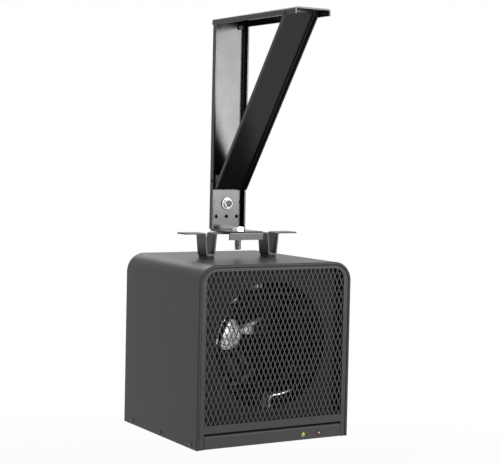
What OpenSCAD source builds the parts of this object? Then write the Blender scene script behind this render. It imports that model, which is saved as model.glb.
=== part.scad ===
// Ceiling mounted fan heater: a sheet-metal casing with a mesh front hangs from a
// triangular channel bracket and turns left and right on one pivot bolt.
// Millimetres. Z = 0 is the ceiling, +Z is up, the front looks towards -Y, and the
// Z axis is the axis of the pivot bolt.

/* [Casing] */
// Width of the casing
case_w = 343; // [330:1:380]
// Depth of the casing, front rim to back
case_d = 318; // [300:1:350]
// Height of the casing
case_h = 350; // [340:1:380]
// Radius of the two upper corners
corner_r = 38; // [28:1:50]
// Thickness of the casing sheet
sheet = 1.2; // [1:0.1:1.5]
// Radius of the rolled front rim
rim_r = 3; // [2.5:0.1:3.5]
// Width of the flange turned in round the back
rear_flange = 12; // [10:1:16]
// Distance between the screws along the lower edge
edge_screw_pitch = 128; // [100:1:135]
// Height of those screws above the lower edge
edge_screw_z = 8; // [6:0.5:12]

/* [Front] */
// Width of the bezel beside the mesh
bezel_w = 9.5; // [8:0.5:14]
// Height of the bezel above the mesh
bezel_top = 6.5; // [5:0.5:10]
// Height of the lower edge of the mesh above the bottom of the casing
mesh_low = 45; // [42:1:55]
// Height of the bar below the mesh
bezel_bar = 15; // [12:1:16]
// Corner radius of the mesh opening
mesh_corner_r = 22; // [15:1:30]
// Distance between neighbouring diamonds, across
diamond_x = 10.4; // [9:0.1:14]
// Height of one diamond, tip to tip with its strand
diamond_z = 24; // [18:0.5:30]
// Width of a strand of the mesh
strand = 2; // [1.6:0.1:2.4]
// Thickness of the mesh
mesh_t = 1.5; // [1:0.1:2]
// Height of the control strip
strip_h = 26; // [22:1:26]
// Diameter of an indicator lens
lens_d = 10; // [8:0.5:12]
// Distance of the amber lens from the middle
amber_x = 66; // [50:1:75]
// Distance of the red lens from the middle
red_x = 103; // [90:1:115]

/* [Hanging bracket] */
// Distance from the ceiling to the top of the casing
drop = 484; // [470:1:520]
// Width of the channels
channel_w = 78; // [74:1:90]
// Thickness of the bracket sheet
plate = 3; // [2.5:0.1:3.2]
// Depth of the flanges of the mast
mast_flange = 17; // [15:1:20]
// Depth of the flanges of the ceiling arm
arm_flange = 13; // [12:1:16]
// Distance from the pivot axis back to the back of the mast
mast_back = 55; // [52:1:70]
// Distance from the pivot axis forward to the end of the ceiling arm
arm_reach = 261; // [250:1:290]
// Distance from the pivot axis forward to where the brace meets the arm
brace_reach = 215; // [200:1:225]
// Distance from the ceiling down to where the brace meets the mast
brace_low = 357; // [335:1:365]
// Depth of the flanges of the brace
brace_flange = 12; // [10:1:14]
// Distance between the ceiling slots, across
slot_x = 36; // [32:1:40]
// Distance between the ceiling slots, front to back
slot_y = 240; // [220:1:250]
// Width of a ceiling slot
slot_w = 7; // [6:0.5:9]
// Length of a ceiling slot
slot_l = 16; // [12:1:18]

/* [Foot and yoke] */
// Distance from the pivot axis forward to the lip of the foot
foot_reach = 35; // [33:1:45]
// Height of the lip of the foot
lip_h = 17; // [14:1:20]
// Height of the tab that the foot is bolted by
tab_h = 83; // [78:1:88]
// Height of the yoke's bridge above the casing
yoke_rise = 51.5; // [48:0.5:60]
// Width of the yoke strap
yoke_w = 37; // [30:1:38]
// Length of the yoke strap, tip to tip
yoke_span = 258; // [230:1:280]
// Distance from the middle of the strap to the middle of each leg
leg_x = 72.25; // [70:0.25:85]
// Width of each leg at its top
leg_top = 28; // [26:0.5:32]
// Width of each leg at its foot
leg_low = 19.5; // [19:0.5:22]
// Thickness of the pads under the legs
pad_t = 5; // [3:0.5:8]
// Diameter of the pivot bolt
pivot_d = 14; // [12:1:16]
// Diameter of the bolt through the mast
mast_bolt_d = 10; // [8:1:12]

/* [Heating] */
// Height of the fan axis above the bottom of the casing
axis_h = 188; // [185:1:195]
// Radius of the opening in the front baffle
opening_r = 125; // [115:1:128]
// Distance from the front of the casing back to the baffle
baffle_back = 21; // [16:1:24]
// Depth of the collar round the baffle opening
collar = 8; // [5:0.5:10]
// Gap beside the baffle, to the casing
baffle_gap = 17; // [12:1:18]
// Bend radius of the outer heating ring
ring_outer_r = 101; // [98:1:102]
// Bend radius of the inner heating ring
ring_inner_r = 79; // [72:1:82]
// Diameter of the heating tube
tube_d = 8; // [6:0.5:9]
// Distance from one heating ring back to the next
ring_step = 18; // [16:1:22]
// Bend radius where a ring turns down to its lead
lead_bend = 10; // [8:0.5:10]
// Half the straight run between the two bends of a ring
ring_split = 17.5; // [17.5:0.5:19]

/* [Fan] */
// Radius over the tips of the fan blades
fan_r = 108; // [95:1:112]
// Number of fan blades
blades = 5; // [4:1:7]
// Radius of the fan hub
hub_r = 31; // [26:1:34]
// Depth of the fan blades, front to back
blade_depth = 26; // [20:1:32]
// Thickness of a fan blade
blade_t = 1.6; // [1.2:0.1:2]
// Radial gap between the blade tips and the shroud
tip_gap = 4; // [3:0.5:8]
// Diameter of the motor
motor_d = 84; // [76:1:90]
// Length of the motor body
motor_l = 56; // [48:1:60]
// Diameter of the motor shaft
shaft_d = 8; // [6:0.5:10]

/* [Wiring] */
// Height of the wiring compartment
pan_h = 38; // [36:1:40]
// Distance of the thermostat from the middle
thermostat_x = 112; // [100:1:120]
// Diameter of the thermostat knob
knob_d = 30; // [24:1:32]
// Distance of the cable gland from the middle
gland_x = 112; // [100:1:120]
// Diameter of the cable that the gland takes
cable_d = 13; // [9:0.5:14]
// Radius of the intake opening at the back
intake_r = 118; // [105:1:120]
// Distance between the wires of the intake guard
guard_pitch = 11; // [9:0.5:14]

/* [Clearances] */
// Running clearance of a shaft, on the radius
run_fit = 0.05; // [0.02:0.01:0.1]
// Clearance of a screw in its hole, on the radius
hole_fit = 0.25; // [0.1:0.05:0.5]
// Gap between covers that lie side by side
reveal = 0.5; // [0.3:0.1:1]
// Gap between curved faces that rest on each other
rest_gap = 0.2; // [0.1:0.05:0.3]

/* [Hidden] */
$fn = 48;
eps = 0.01;

// Casing
top_z = -drop;
low_z = top_z - case_h;
front_y = -case_d/2;
rear_y = case_d/2;
inner_w = case_w/2 - sheet;
edge_screw_d = 4;
edge_screw_shift = -6;
edge_screw_y = [for (i = [-1:1]) i*edge_screw_pitch + edge_screw_shift];
rear_screw_d = 4;
rear_screw_low = 80;
rear_screw_top = 70;
axis_z = low_z + axis_h;

// Bracket
slot_inset = 19;
brace_cut = 9;
half_w = channel_w/2;
inner_half = half_w - plate;
web_y = mast_back - plate;
bend_r = 4;
bend_in = bend_r - plate/2;
strap_bend = plate/2 + 1;
foot_z = top_z + yoke_rise;
mast_low = foot_z + plate + 0.5;
tab_half = inner_half - bend_in;
tab_top = foot_z + tab_h;
slot_front = -arm_reach + slot_inset;
pivot_head = 8;
pivot_nut_h = 10.5;
pivot_washer_t = 2.5;
pivot_end = 36;
brace_trim = -brace_low + brace_cut;
arm_screw_x = 24.6;
arm_screw_z = -arm_flange - 1.5;
arm_tab = 28;
m6 = 6;
rivet_d = 5;
mast_washer_t = 2.5;
mast_nut_h = 8.4;
bolt_rise = 55.5;
bolt_z = foot_z + bolt_rise;
rivet_row_x = 24;
rivet_row_z = foot_z + 29;
rivet_hole_r = 3.8;
key_r = 4.5;
key_z = bolt_z + key_r - 1;

// Yoke
leg_z = top_z + pad_t;
screw_y = yoke_w/4;
doubler_t = 2.5;
doubler_z = top_z - sheet - doubler_t;
m6_nut_h = 5;

// The brace lies along the line from foot to head, in Y and Z
brace_foot = [web_y, -brace_low];
brace_head = [-brace_reach, -plate];
brace_run = dir(brace_foot, brace_head);
brace_tilt = atan2(-brace_run[0], brace_run[1]);
function brace_y(z) = brace_foot[0] + (z - brace_foot[1])*brace_run[0]/brace_run[1];
rivet_low = [web_y - 7, brace_trim + 18];
rivet_high_z = -(arm_flange + plate)/2;
rivet_high = [brace_y(rivet_high_z) - (brace_flange - 3.5)/brace_run[1], rivet_high_z];

// Front
bezel_out = case_w/2 - 2*rim_r - reveal;
bezel_y = front_y + 2;
mesh_half = bezel_out - bezel_w;
mesh_top = top_z - 2*rim_r - bezel_top;
mesh_z = low_z + mesh_low;
mesh_y = bezel_y + sheet;
baffle_y = front_y + baffle_back;
pan_lip_y = front_y + 9;
strip_z = low_z;
lens_z = low_z + 11;
lens_stem = lens_d/2 - 1.5;
board_y = pan_lip_y + 4;
board_t = 1.6;

// Inside
cover_z = low_z + pan_h;
ring_outer_y = baffle_y + collar + sheet + tube_d/2 + 3;
ring_inner_y = ring_outer_y + ring_step;
lead_x = ring_split - lead_bend;
plate_y = rear_y - 2*sheet;
motor_clear = 11;
strap_t = 2;
mount_y = plate_y - motor_clear - motor_l - strap_t;
strap_room = 19;
shroud_y = mount_y - blade_depth - strap_room;
shroud_r = fan_r + tip_gap;
shroud_depth = blade_depth + 2;
fan_y = shroud_y + 3;
hub_y = fan_y + blade_depth/2;
strap_foot = shroud_r + sheet + 14;
strap_screw_x = strap_foot + 9;
motor_screw_x = motor_d/2 - 12;
motor_screw_d = 4;
motor_neck_r = 12;
gland_z = low_z + 20;
gland_r = cable_d/2 + 4.5;
stem_d = 6;
stem_reach = 12;

// ---- Sheet profiles -------------------------------------------------------------

function dir(a, b) = (b - a)/norm(b - a);
function left(v) = [-v[1], v[0]];
function turned(v, a) = [v[0]*cos(a) - v[1]*sin(a), v[0]*sin(a) + v[1]*cos(a)];
function bend_angle(u, w) = atan2(u[0]*w[1] - u[1]*w[0], u*w);

// Points of the arc of radius r that rounds corner b of the path a, b, c
function bend(a, b, c, r, steps = 5) =
    let (u = dir(a, b), angle = bend_angle(u, dir(b, c)), arm = left(u)*r*sign(angle),
         centre = b - u*r*tan(abs(angle)/2) + arm)
    [for (i = [0:steps]) centre - turned(arm, angle*i/steps)];

function rounded(p, r) =
    [p[0], for (i = [1:len(p) - 2]) each bend(p[i - 1], p[i], p[i + 1], r), p[len(p) - 1]];

function normal_at(p, i) =
    let (last = len(p) - 1,
         a = left(dir(p[max(i - 1, 0)], p[max(i, 1)])),
         b = left(dir(p[min(i, last - 1)], p[min(i + 1, last)])))
    (a + b)/(1 + a*b);

function beside(p, d) = [for (i = [0:len(p) - 1]) p[i] + normal_at(p, i)*d];
function reversed(p) = [for (i = [len(p) - 1:-1:0]) p[i]];

// Outline of a sheet of thickness t folded along the middle line p
module folded(p, t, r) {
    line = rounded(p, r);
    polygon(concat(beside(line, t/2), reversed(beside(line, -t/2))));
}

// Middle line of a channel that opens towards +Y of its sketch
function channel(w, depth, t) =
    [[-w/2 + t/2, depth], [-w/2 + t/2, t/2], [w/2 - t/2, t/2], [w/2 - t/2, depth]];

// ---- Placing --------------------------------------------------------------------

// Extrudes a sketch drawn in X and Z from y0 to y1
module along_y(y0, y1) {
    translate([0, y1, 0]) rotate([90, 0, 0]) linear_extrude(y1 - y0) children();
}

// Extrudes a sketch drawn in Y and Z from x0 to x1
module along_x(x0, x1) {
    translate([x0, 0, 0]) rotate([90, 0, 90]) linear_extrude(x1 - x0) children();
}

// Revolves a sketch of radius and depth about the Y axis; its Y grows towards the back
module about_y() {
    rotate([-90, 0, 0]) rotate_extrude($fn = 96) children();
}

module box(low, high) {
    translate(low) cube(high - low);
}

module rod_y(x, y0, y1, z, r) {
    translate([x, y0, z]) rotate([-90, 0, 0]) cylinder(r = r, h = y1 - y0);
}

module rod_x(x0, x1, y, z, r) {
    translate([x0, y, z]) rotate([0, 90, 0]) cylinder(r = r, h = x1 - x0);
}

module rod_z(x, y, z0, z1, r) {
    translate([x, y, z0]) cylinder(r = r, h = z1 - z0);
}

module hex(af, h) {
    cylinder(d = af/cos(30), h = h, $fn = 6);
}

module both_sides() {
    children();
    mirror([1, 0, 0]) children();
}

// Arch with two round upper corners, drawn in X and Z
module arch(half, z0, z1, r) {
    translate([-half, z0]) square([2*half, z1 - r - z0]);
    translate([r - half, z1 - r]) square([2*(half - r), r]);
    for (s = [-1, 1]) translate([s*(half - r), z1 - r]) circle(r);
}

// Sweeps a section round the arch: its X is the distance in from the outside,
// its Y is the depth
module round_arch(half, z0, z1, r) {
    both_sides() {
        translate([-half, 0, z0]) linear_extrude(z1 - r - z0) children();
        translate([r - half, 0, z1 - r]) rotate([-90, 0, 0]) rotate([0, 0, 180])
            rotate_extrude(angle = 90) translate([r, 0]) mirror([1, 0]) children();
    }
    translate([r - half, 0, z1]) rotate([0, 90, 0])
        linear_extrude(2*(half - r)) children();
}

// Section of a flat ring: thickness t, from y0 to y1
module skirt(half, z0, z1, r, t, y0, y1) {
    round_arch(half, z0, z1, r) translate([0, y0]) square([t, y1 - y0]);
}

// Tube bent to an arc in the X, Z plane
module arc_tube(r, d, a0, a1) {
    rotate([90, 0, 0]) rotate([0, 0, a0]) rotate_extrude(angle = a1 - a0, $fn = 96)
        translate([r, 0]) circle(d = d);
}

// ---- Hanging bracket ------------------------------------------------------------

module foot_holes() {
    rod_y(0, web_y - 2*plate, mast_back + plate, bolt_z, mast_bolt_d/2 + hole_fit);
    for (x = [-rivet_row_x, 0, rivet_row_x])
        rod_y(x, web_y - 2*plate, mast_back + plate, rivet_row_z, rivet_hole_r);
}

module mast_channel() color("#8e8e90") {
    difference() {
        translate([0, 0, mast_low]) linear_extrude(-plate - 1 - mast_low)
            translate([0, mast_back]) mirror([0, 1])
                folded(channel(channel_w, mast_flange, plate), plate, bend_r);
        both_sides()
            box([inner_half - bend_r, 0, -arm_flange], [channel_w, mast_back + 1, 1]);
        foot_holes();
        both_sides() {
            rod_y(arm_screw_x, web_y - 1, mast_back + 1, arm_screw_z, m6/2 + hole_fit);
            rod_x(inner_half - 1, half_w + 1, rivet_low[0], rivet_low[1],
                rivet_d/2 + rest_gap);
        }
    }
}

module ceiling_arm() color("#474749") {
    difference() {
        union() {
            along_y(-arm_reach, mast_back)
                mirror([0, 1]) folded(channel(channel_w, arm_flange, plate), plate, bend_r);
            along_x(-tab_half, tab_half)
                folded([[mast_back - 20, -plate/2], [mast_back + plate/2, -plate/2],
                    [mast_back + plate/2, -arm_tab]], plate, bend_r - plate/2);
        }
        for (y = [slot_front, slot_front + slot_y]) both_sides()
            translate([slot_x/2, y, -plate - 1]) linear_extrude(plate + 2) slot();
        both_sides() {
            rod_y(arm_screw_x, mast_back - 1, mast_back + plate + 1, arm_screw_z,
                m6/2 + hole_fit);
            rod_x(inner_half - 1, half_w + 1, rivet_high[0], rivet_high[1],
                rivet_d/2 + rest_gap);
        }
    }
}

module slot() {
    run = slot_l - slot_w;
    translate([-run/2, -slot_w/2]) square([run, slot_w]);
    for (s = [-1, 1]) translate([s*run/2, 0]) circle(d = slot_w);
}

module brace_channel() color("#2c2c2d") {
    ear_top = brace_trim + 30;
    over = 50;
    difference() {
        union() {
            intersection() {
                translate([0, brace_foot[0], brace_foot[1]]) rotate([brace_tilt, 0, 0])
                    translate([0, 0, -over]) linear_extrude(norm(brace_head - brace_foot) + 2*over)
                        mirror([0, 1])
                            folded(channel(2*inner_half, brace_flange, plate), plate, bend_r);
                box([-half_w, -arm_reach, brace_trim], [half_w, web_y - bend_in, -plate - bend_in]);
            }
            both_sides() along_x(inner_half - plate, inner_half)
                polygon([[web_y - bend_in, brace_trim], [web_y - bend_in, ear_top],
                    [brace_y(ear_top) - plate, ear_top], [brace_y(brace_trim) - plate, brace_trim]]);
        }
        both_sides() for (p = [rivet_low, rivet_high])
            rod_x(inner_half - plate - 1, half_w, p[0], p[1], rivet_d/2 + rest_gap);
    }
}

module foot_bracket() color("#98989a") {
    difference() {
        along_x(-half_w, half_w)
            folded([[plate/2 - foot_reach, foot_z + plate - lip_h],
                [plate/2 - foot_reach, foot_z + plate/2],
                [web_y - plate/2, foot_z + plate/2],
                [web_y - plate/2, tab_top]], plate, strap_bend);
        both_sides() {
            box([tab_half, web_y - plate - bend_r, foot_z - 1], [channel_w, web_y + 1, tab_top + 1]);
            rod_y(tab_half, web_y - plate - 1, web_y + 1, key_z, key_r + rest_gap);
        }
        foot_holes();
        rod_z(0, 0, foot_z - 1, foot_z + plate + 1, pivot_d/2 + hole_fit);
    }
}

// Hexagon bolt along +Z: its head sits on z = 0 and its shank points down
module bolt(d, af, head, grip) {
    hex(af, head);
    translate([0, 0, -grip]) cylinder(d = d, h = grip + eps);
}

module nut(d, af, h) {
    difference() {
        hex(af, h);
        translate([0, 0, -1]) cylinder(d = d + 2*run_fit, h = h + 2);
    }
}

module washer(d, od, t) {
    difference() {
        cylinder(d = od, h = t);
        translate([0, 0, -1]) cylinder(d = d + 2*hole_fit, h = t + 2);
    }
}

module arm_screws() color("#c9c9c6") both_sides()
    translate([arm_screw_x, 0, arm_screw_z]) {
        translate([0, web_y, 0]) rotate([90, 0, 0]) bolt(m6, 10, 4, 2*plate + 7);
        translate([0, mast_back + plate, 0]) rotate([-90, 0, 0]) nut(m6, 10, 5);
    }

module brace_rivets() color("#303031") both_sides() for (p = [rivet_low, rivet_high])
    translate([half_w, p[0], p[1]]) rotate([0, 90, 0]) {
        rivet_head(2.4);
        translate([0, 0, -2*plate]) mirror([0, 0, 1]) rivet_head(1.8);
        translate([0, 0, -2*plate - eps]) cylinder(d = rivet_d, h = 2*plate + 2*eps);
    }

// Three blind rivets in a row through foot and mast, and two half-round keys on the
// mast's web that the notches of the foot fit round
module foot_rivets() color("#141415") {
    front = web_y - plate + 1;
    shank_r = rivet_hole_r - rest_gap;
    for (x = [-rivet_row_x, 0, rivet_row_x]) {
        translate([x, mast_back, rivet_row_z]) rotate([-90, 0, 0]) rivet_head(1.8);
        difference() {
            rod_y(x, front, mast_back + eps, rivet_row_z, shank_r);
            rod_y(x, front - 1, front + 3, rivet_row_z, shank_r - 1.3);
        }
    }
    intersection() {
        both_sides() rod_y(tab_half, web_y - plate + 0.5, web_y, key_z, key_r);
        box([-tab_half, web_y - plate, key_z - key_r], [tab_half, web_y, key_z + key_r]);
    }
}

// Domed head of height h
module rivet_head(h) {
    a = rivet_d*0.85;
    r = (a*a + h*h)/(2*h);
    intersection() {
        translate([0, 0, h - r]) sphere(r, $fn = 64);
        cylinder(r = a, h = h + 1);
    }
}

module mast_bolt() color("#dcdcda") translate([0, web_y - plate - mast_washer_t, bolt_z])
    rotate([90, 0, 0])
        bolt(mast_bolt_d, 1.7*mast_bolt_d, 6.4, mast_washer_t + 2*plate + mast_nut_h + 3);

module mast_washer() color("#d2d2d0") translate([0, web_y - plate, bolt_z])
    rotate([90, 0, 0]) washer(mast_bolt_d, 2.5*mast_bolt_d, mast_washer_t);

module mast_nut() color("#d2d2d0") translate([0, mast_back, bolt_z])
    rotate([-90, 0, 0]) nut(mast_bolt_d, 1.7*mast_bolt_d, mast_nut_h);

module pivot_bolt() color("#dcdcda") translate([0, 0, foot_z + plate])
    bolt(pivot_d, 22, pivot_head, plate + pivot_end);

module pivot_washer() color("#d2d2d0") translate([0, 0, foot_z - plate - pivot_washer_t])
    washer(pivot_d, 2*pivot_d, pivot_washer_t);

module pivot_nut() color("#d2d2d0")
    translate([0, 0, foot_z - plate - pivot_washer_t - pivot_nut_h])
        nut(pivot_d, 22, pivot_nut_h);

// ---- Yoke -----------------------------------------------------------------------

module yoke_strap() color("#3c3c3e") {
    bridge_z = foot_z - plate/2;
    top_in = leg_x - leg_top/2 + plate/2;
    top_out = leg_x + leg_top/2 - plate/2;
    low_in = leg_x - leg_low/2 + plate/2;
    low_out = leg_x + leg_low/2 - plate/2;
    half = [[top_in, bridge_z], [low_in, leg_z + plate/2], [low_out, leg_z + plate/2],
        [top_out, bridge_z], [yoke_span/2, bridge_z]];
    other = [for (p = reversed(half)) [-p[0], p[1]]];
    difference() {
        along_y(-yoke_w/2, yoke_w/2) folded(concat(other, half), plate, strap_bend);
        rod_z(0, 0, foot_z - plate - 1, foot_z + 1, pivot_d/2 + run_fit);
        leg_holes(leg_z - 1, leg_z + plate + 1);
    }
}

module leg_holes(z0, z1) {
    both_sides() for (y = [-screw_y, screw_y]) rod_z(leg_x, y, z0, z1, m6/2 + hole_fit);
}

module yoke_pads() color("#1c1c1c") difference() {
    both_sides() box([leg_x - leg_low/2 + 1, 2 - yoke_w/2, top_z],
        [leg_x + leg_low/2 - 1, yoke_w/2 - 2, leg_z]);
    leg_holes(top_z - 1, leg_z + 1);
}

module yoke_screws() color("#c9c9c6") both_sides() for (y = [-screw_y, screw_y])
    translate([leg_x, y, leg_z + plate]) {
        cylinder(d = 10, h = 3.3);
        translate([0, 0, doubler_z - m6_nut_h - 2 - leg_z - plate])
            cylinder(d = m6, h = leg_z + plate + m6_nut_h + 2 - doubler_z + eps);
    }

module yoke_nuts() color("#c9c9c6") both_sides() for (y = [-screw_y, screw_y])
    translate([leg_x, y, doubler_z - m6_nut_h]) nut(m6, 10, m6_nut_h);

module yoke_doubler() color("#9b9b99") difference() {
    box([-leg_x - 20, -yoke_w/2 - 4, doubler_z], [leg_x + 20, yoke_w/2 + 4, doubler_z + doubler_t]);
    leg_holes(doubler_z - 1, doubler_z + doubler_t + 1);
}

// ---- Casing ---------------------------------------------------------------------

module edge_holes() {
    both_sides() for (y = edge_screw_y)
        rod_x(inner_w - 3, case_w/2 + 1, y, low_z + edge_screw_z, edge_screw_d/2 + hole_fit);
}

module casing() color("#4b4b4d") difference() {
    round_arch(case_w/2, low_z, top_z, corner_r) {
        translate([0, front_y + rim_r]) square([sheet, case_d - rim_r]);
        intersection() {
            translate([rim_r, front_y + rim_r]) circle(rim_r);
            translate([0, front_y]) square([2*rim_r, rim_r]);
        }
        translate([0, rear_y - sheet]) square([rear_flange, sheet]);
    }
    edge_holes();
    leg_holes(top_z - sheet - 1, top_z + 1);
    rear_holes();
}

module base_pan() color("#414143") difference() {
    union() {
        along_y(pan_lip_y, plate_y - sheet) translate([0, low_z])
            folded(channel(2*inner_w, pan_h, sheet), sheet, 1.6);
        box([sheet - inner_w, pan_lip_y, low_z + 2], [inner_w - sheet, pan_lip_y + sheet, cover_z]);
        box([sheet - inner_w, pan_lip_y, low_z], [inner_w - sheet, pan_lip_y + 6, low_z + sheet]);
    }
    edge_holes();
    for (x = [amber_x, red_x])
        rod_y(x, pan_lip_y - 1, pan_lip_y + sheet + 1, lens_z, lens_stem + rest_gap);
}

module edge_screws() color("#3a3a3c") both_sides() for (y = edge_screw_y)
    translate([case_w/2, y, low_z + edge_screw_z]) rotate([0, 90, 0]) pan_screw(edge_screw_d, 9);

// Pan-head screw along -Z with its head on z = 0
module pan_screw(d, grip) {
    intersection() {
        translate([0, 0, 2.4 - 1.6*d]) sphere(1.6*d, $fn = 64);
        cylinder(r = 0.95*d, h = 3);
    }
    translate([0, 0, -grip]) cylinder(d = d, h = grip + eps);
}

module rear_points() {
    both_sides() for (z = [low_z + rear_screw_low, axis_z, top_z - rear_screw_top])
        translate([case_w/2 - rear_flange/2 - sheet/2, 0, z]) children();
}

module rear_holes() {
    rear_points() rod_y(0, rear_y - 4*sheet, rear_y + 1, 0, rear_screw_d/2 + hole_fit);
}

module rear_panel() color("#414143") difference() {
    union() {
        along_y(plate_y, plate_y + sheet) arch(inner_w - reveal, low_z, top_z - sheet - reveal,
            corner_r - sheet - reveal);
        skirt(inner_w - reveal, cover_z + sheet + reveal, top_z - sheet - reveal,
            corner_r - sheet - reveal, sheet, plate_y - 10, plate_y);
    }
    translate([0, 0, axis_z]) rod_y(0, plate_y - 1, rear_y, 0, intake_r);
    rear_holes();
    rod_y(gland_x, plate_y - 1, rear_y, gland_z, gland_r + rest_gap);
    rod_y(-thermostat_x, plate_y - 1, rear_y, gland_z, stem_d/2 + 1);
}

module rear_screws() color("#3a3a3c") rear_points()
    translate([0, rear_y, 0]) rotate([-90, 0, 0]) pan_screw(rear_screw_d, 8);

// Concentric wires on four spokes, hooked behind the intake opening
module intake_guard() color("#5b5b5d") {
    wire = 2.4;
    rings = floor((intake_r - 8)/guard_pitch);
    y = plate_y - wire/2 - rest_gap;
    spoke_y = y - wire*0.8;
    translate([0, y, axis_z]) {
        for (i = [1:rings]) about_y() translate([intake_r + 4 - (i - 1)*guard_pitch, 0])
            circle(d = wire, $fn = 16);
        about_y() translate([0, -wire/2]) square([16, 1.5]);
    }
    for (a = [45:90:315]) translate([0, spoke_y, axis_z]) rotate([0, a, 0])
        rod_x(10, intake_r + 8, 0, 0, wire/2);
}

// ---- Front ----------------------------------------------------------------------

module bezel_outline(inset) {
    arch(bezel_out - inset, low_z, top_z - 2*rim_r - reveal - inset, corner_r - 2*rim_r - inset);
}

module front_bezel() color("#525254") {
    bar_z = mesh_z - bezel_bar;
    along_y(bezel_y, bezel_y + sheet) difference() {
        bezel_outline(0);
        arch(mesh_half, mesh_z, mesh_top, mesh_corner_r);
        translate([-mesh_half, low_z - 1]) square([2*mesh_half, bar_z - low_z + 1]);
    }
    skirt(bezel_out, cover_z + sheet + reveal, top_z - 2*rim_r - reveal, corner_r - 2*rim_r,
        sheet, bezel_y + sheet, baffle_y);
}

// Expanded metal: a field of diamonds, every other column half a diamond higher
module front_grille() color("#3e3e40") {
    across = diamond_x/2;
    up = diamond_z/2;
    shrink = 1 - strand*norm([across, up])/(2*across*up);
    columns = ceil(mesh_half/across);
    rows = ceil((mesh_top - mesh_z)/up);
    rim = 3;
    along_y(mesh_y, mesh_y + mesh_t) difference() {
        arch(mesh_half + rim, mesh_z - 8, mesh_top + rim, mesh_corner_r + rim);
        intersection() {
            arch(mesh_half + 1, mesh_z - 1, mesh_top + 1, mesh_corner_r + 1);
            union() for (i = [-columns:columns], j = [0:rows]) if ((i + j)%2 == 0)
                translate([i*across, mesh_z + j*up])
                    polygon([[across*shrink, 0], [0, up*shrink], [-across*shrink, 0],
                        [0, -up*shrink]]);
        }
    }
}

module control_strip() color("#3b3b3d") difference() {
    along_x(reveal/2 - mesh_half, mesh_half - 3*reveal)
        folded([[pan_lip_y, strip_z + sheet/2], [bezel_y - 1 + sheet/2, strip_z + sheet/2],
            [bezel_y - 1 + sheet/2, strip_z + strip_h - sheet/2],
            [pan_lip_y, strip_z + strip_h - sheet/2]], sheet, 2.6);
    for (x = [amber_x, red_x])
        rod_y(x, front_y, pan_lip_y - 1, lens_z, lens_stem + rest_gap);
}

// Rubber seal on the strip's upper flange, which closes the gap under the bezel's bar
module strip_seal() color("#101010") {
    seal_h = 9;
    nose = 1.2;
    along_x(reveal - mesh_half, mesh_half - reveal)
        translate([pan_lip_y, strip_z + strip_h]) hull() {
            translate([-1, 0]) square([1, seal_h]);
            translate([nose - 4, nose]) circle(nose);
            translate([nose - 4, seal_h - nose]) circle(nose);
        }
}

// Indicator lens: a dome on the strip and a stem back to the board
module lens(x) {
    strip_y = bezel_y - 1;
    r = lens_d/2;
    dome = 2.2;
    ball = (r*r + dome*dome)/(2*dome);
    translate([x, strip_y, lens_z]) rotate([90, 0, 0]) {
        intersection() {
            translate([0, 0, dome - ball]) sphere(ball, $fn = 96);
            cylinder(r = r, h = dome + 1);
        }
        translate([0, 0, strip_y - board_y]) cylinder(r = lens_stem, h = board_y - strip_y + eps);
    }
}

module lens_amber() color("#d8b23a") lens(amber_x);

module lens_red() color("#c23b33") lens(red_x);

// Circuit board behind the strip, on two posts from the pan, with its parts
module control_board() color("#2f5a3c") {
    x0 = amber_x - 22;
    x1 = red_x + 22;
    z0 = low_z + 6;
    box([x0, board_y, z0], [x1, board_y + board_t, cover_z - 4]);
    for (x = [x0 + 6, x1 - 6]) rod_y(x, pan_lip_y + sheet, board_y + eps, z0 + 5, 2.5);
    for (i = [0:3]) box([x0 + 12 + i*18, board_y + board_t - eps, z0 + 8],
        [x0 + 22 + i*18, board_y + 7 + 3*(i%2), z0 + 20]);
}

// ---- Heating --------------------------------------------------------------------

module baffle_plate() color("#353537") {
    r = corner_r - sheet;
    flange = 12;
    half = inner_w - baffle_gap;
    difference() {
        union() {
            intersection() {
                union() {
                    along_y(baffle_y, baffle_y + sheet)
                        arch(inner_w, cover_z + sheet, top_z - sheet, r);
                    skirt(inner_w, cover_z + sheet, top_z - sheet, r, sheet,
                        baffle_y + sheet, baffle_y + flange);
                }
                box([-half, baffle_y, cover_z], [half, baffle_y + flange, top_z]);
            }
            both_sides() box([half - sheet, baffle_y, cover_z + sheet],
                [half, baffle_y + flange, top_z - corner_r]);
            translate([0, 0, axis_z])
                rod_y(0, baffle_y, baffle_y + sheet + collar, 0, opening_r + sheet);
        }
        translate([0, 0, axis_z]) rod_y(0, baffle_y - 1, baffle_y + 40, 0, opening_r);
    }
}

// Open heating ring: two half turns, a straight run at the top and two leads that turn
// down into the wiring compartment
module heating_ring(r, y) {
    lead_low = cover_z - 14;
    elbow_z = axis_z - r - lead_bend;
    translate([0, y, 0]) {
        both_sides() {
            translate([ring_split, 0, axis_z]) arc_tube(r, tube_d, -90, 90);
            translate([ring_split, 0, elbow_z]) arc_tube(lead_bend, tube_d, 90, 180);
            rod_z(lead_x, 0, lead_low, elbow_z, tube_d/2);
        }
        rod_x(-ring_split, ring_split, 0, axis_z + r, tube_d/2);
    }
}

module each_lead() {
    both_sides() for (y = [ring_outer_y, ring_inner_y]) translate([lead_x, y, 0]) children();
}

module element_outer() color("#a9a29a") heating_ring(ring_outer_r, ring_outer_y);

module element_inner() color("#a9a29a") heating_ring(ring_inner_r, ring_inner_y);

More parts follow.
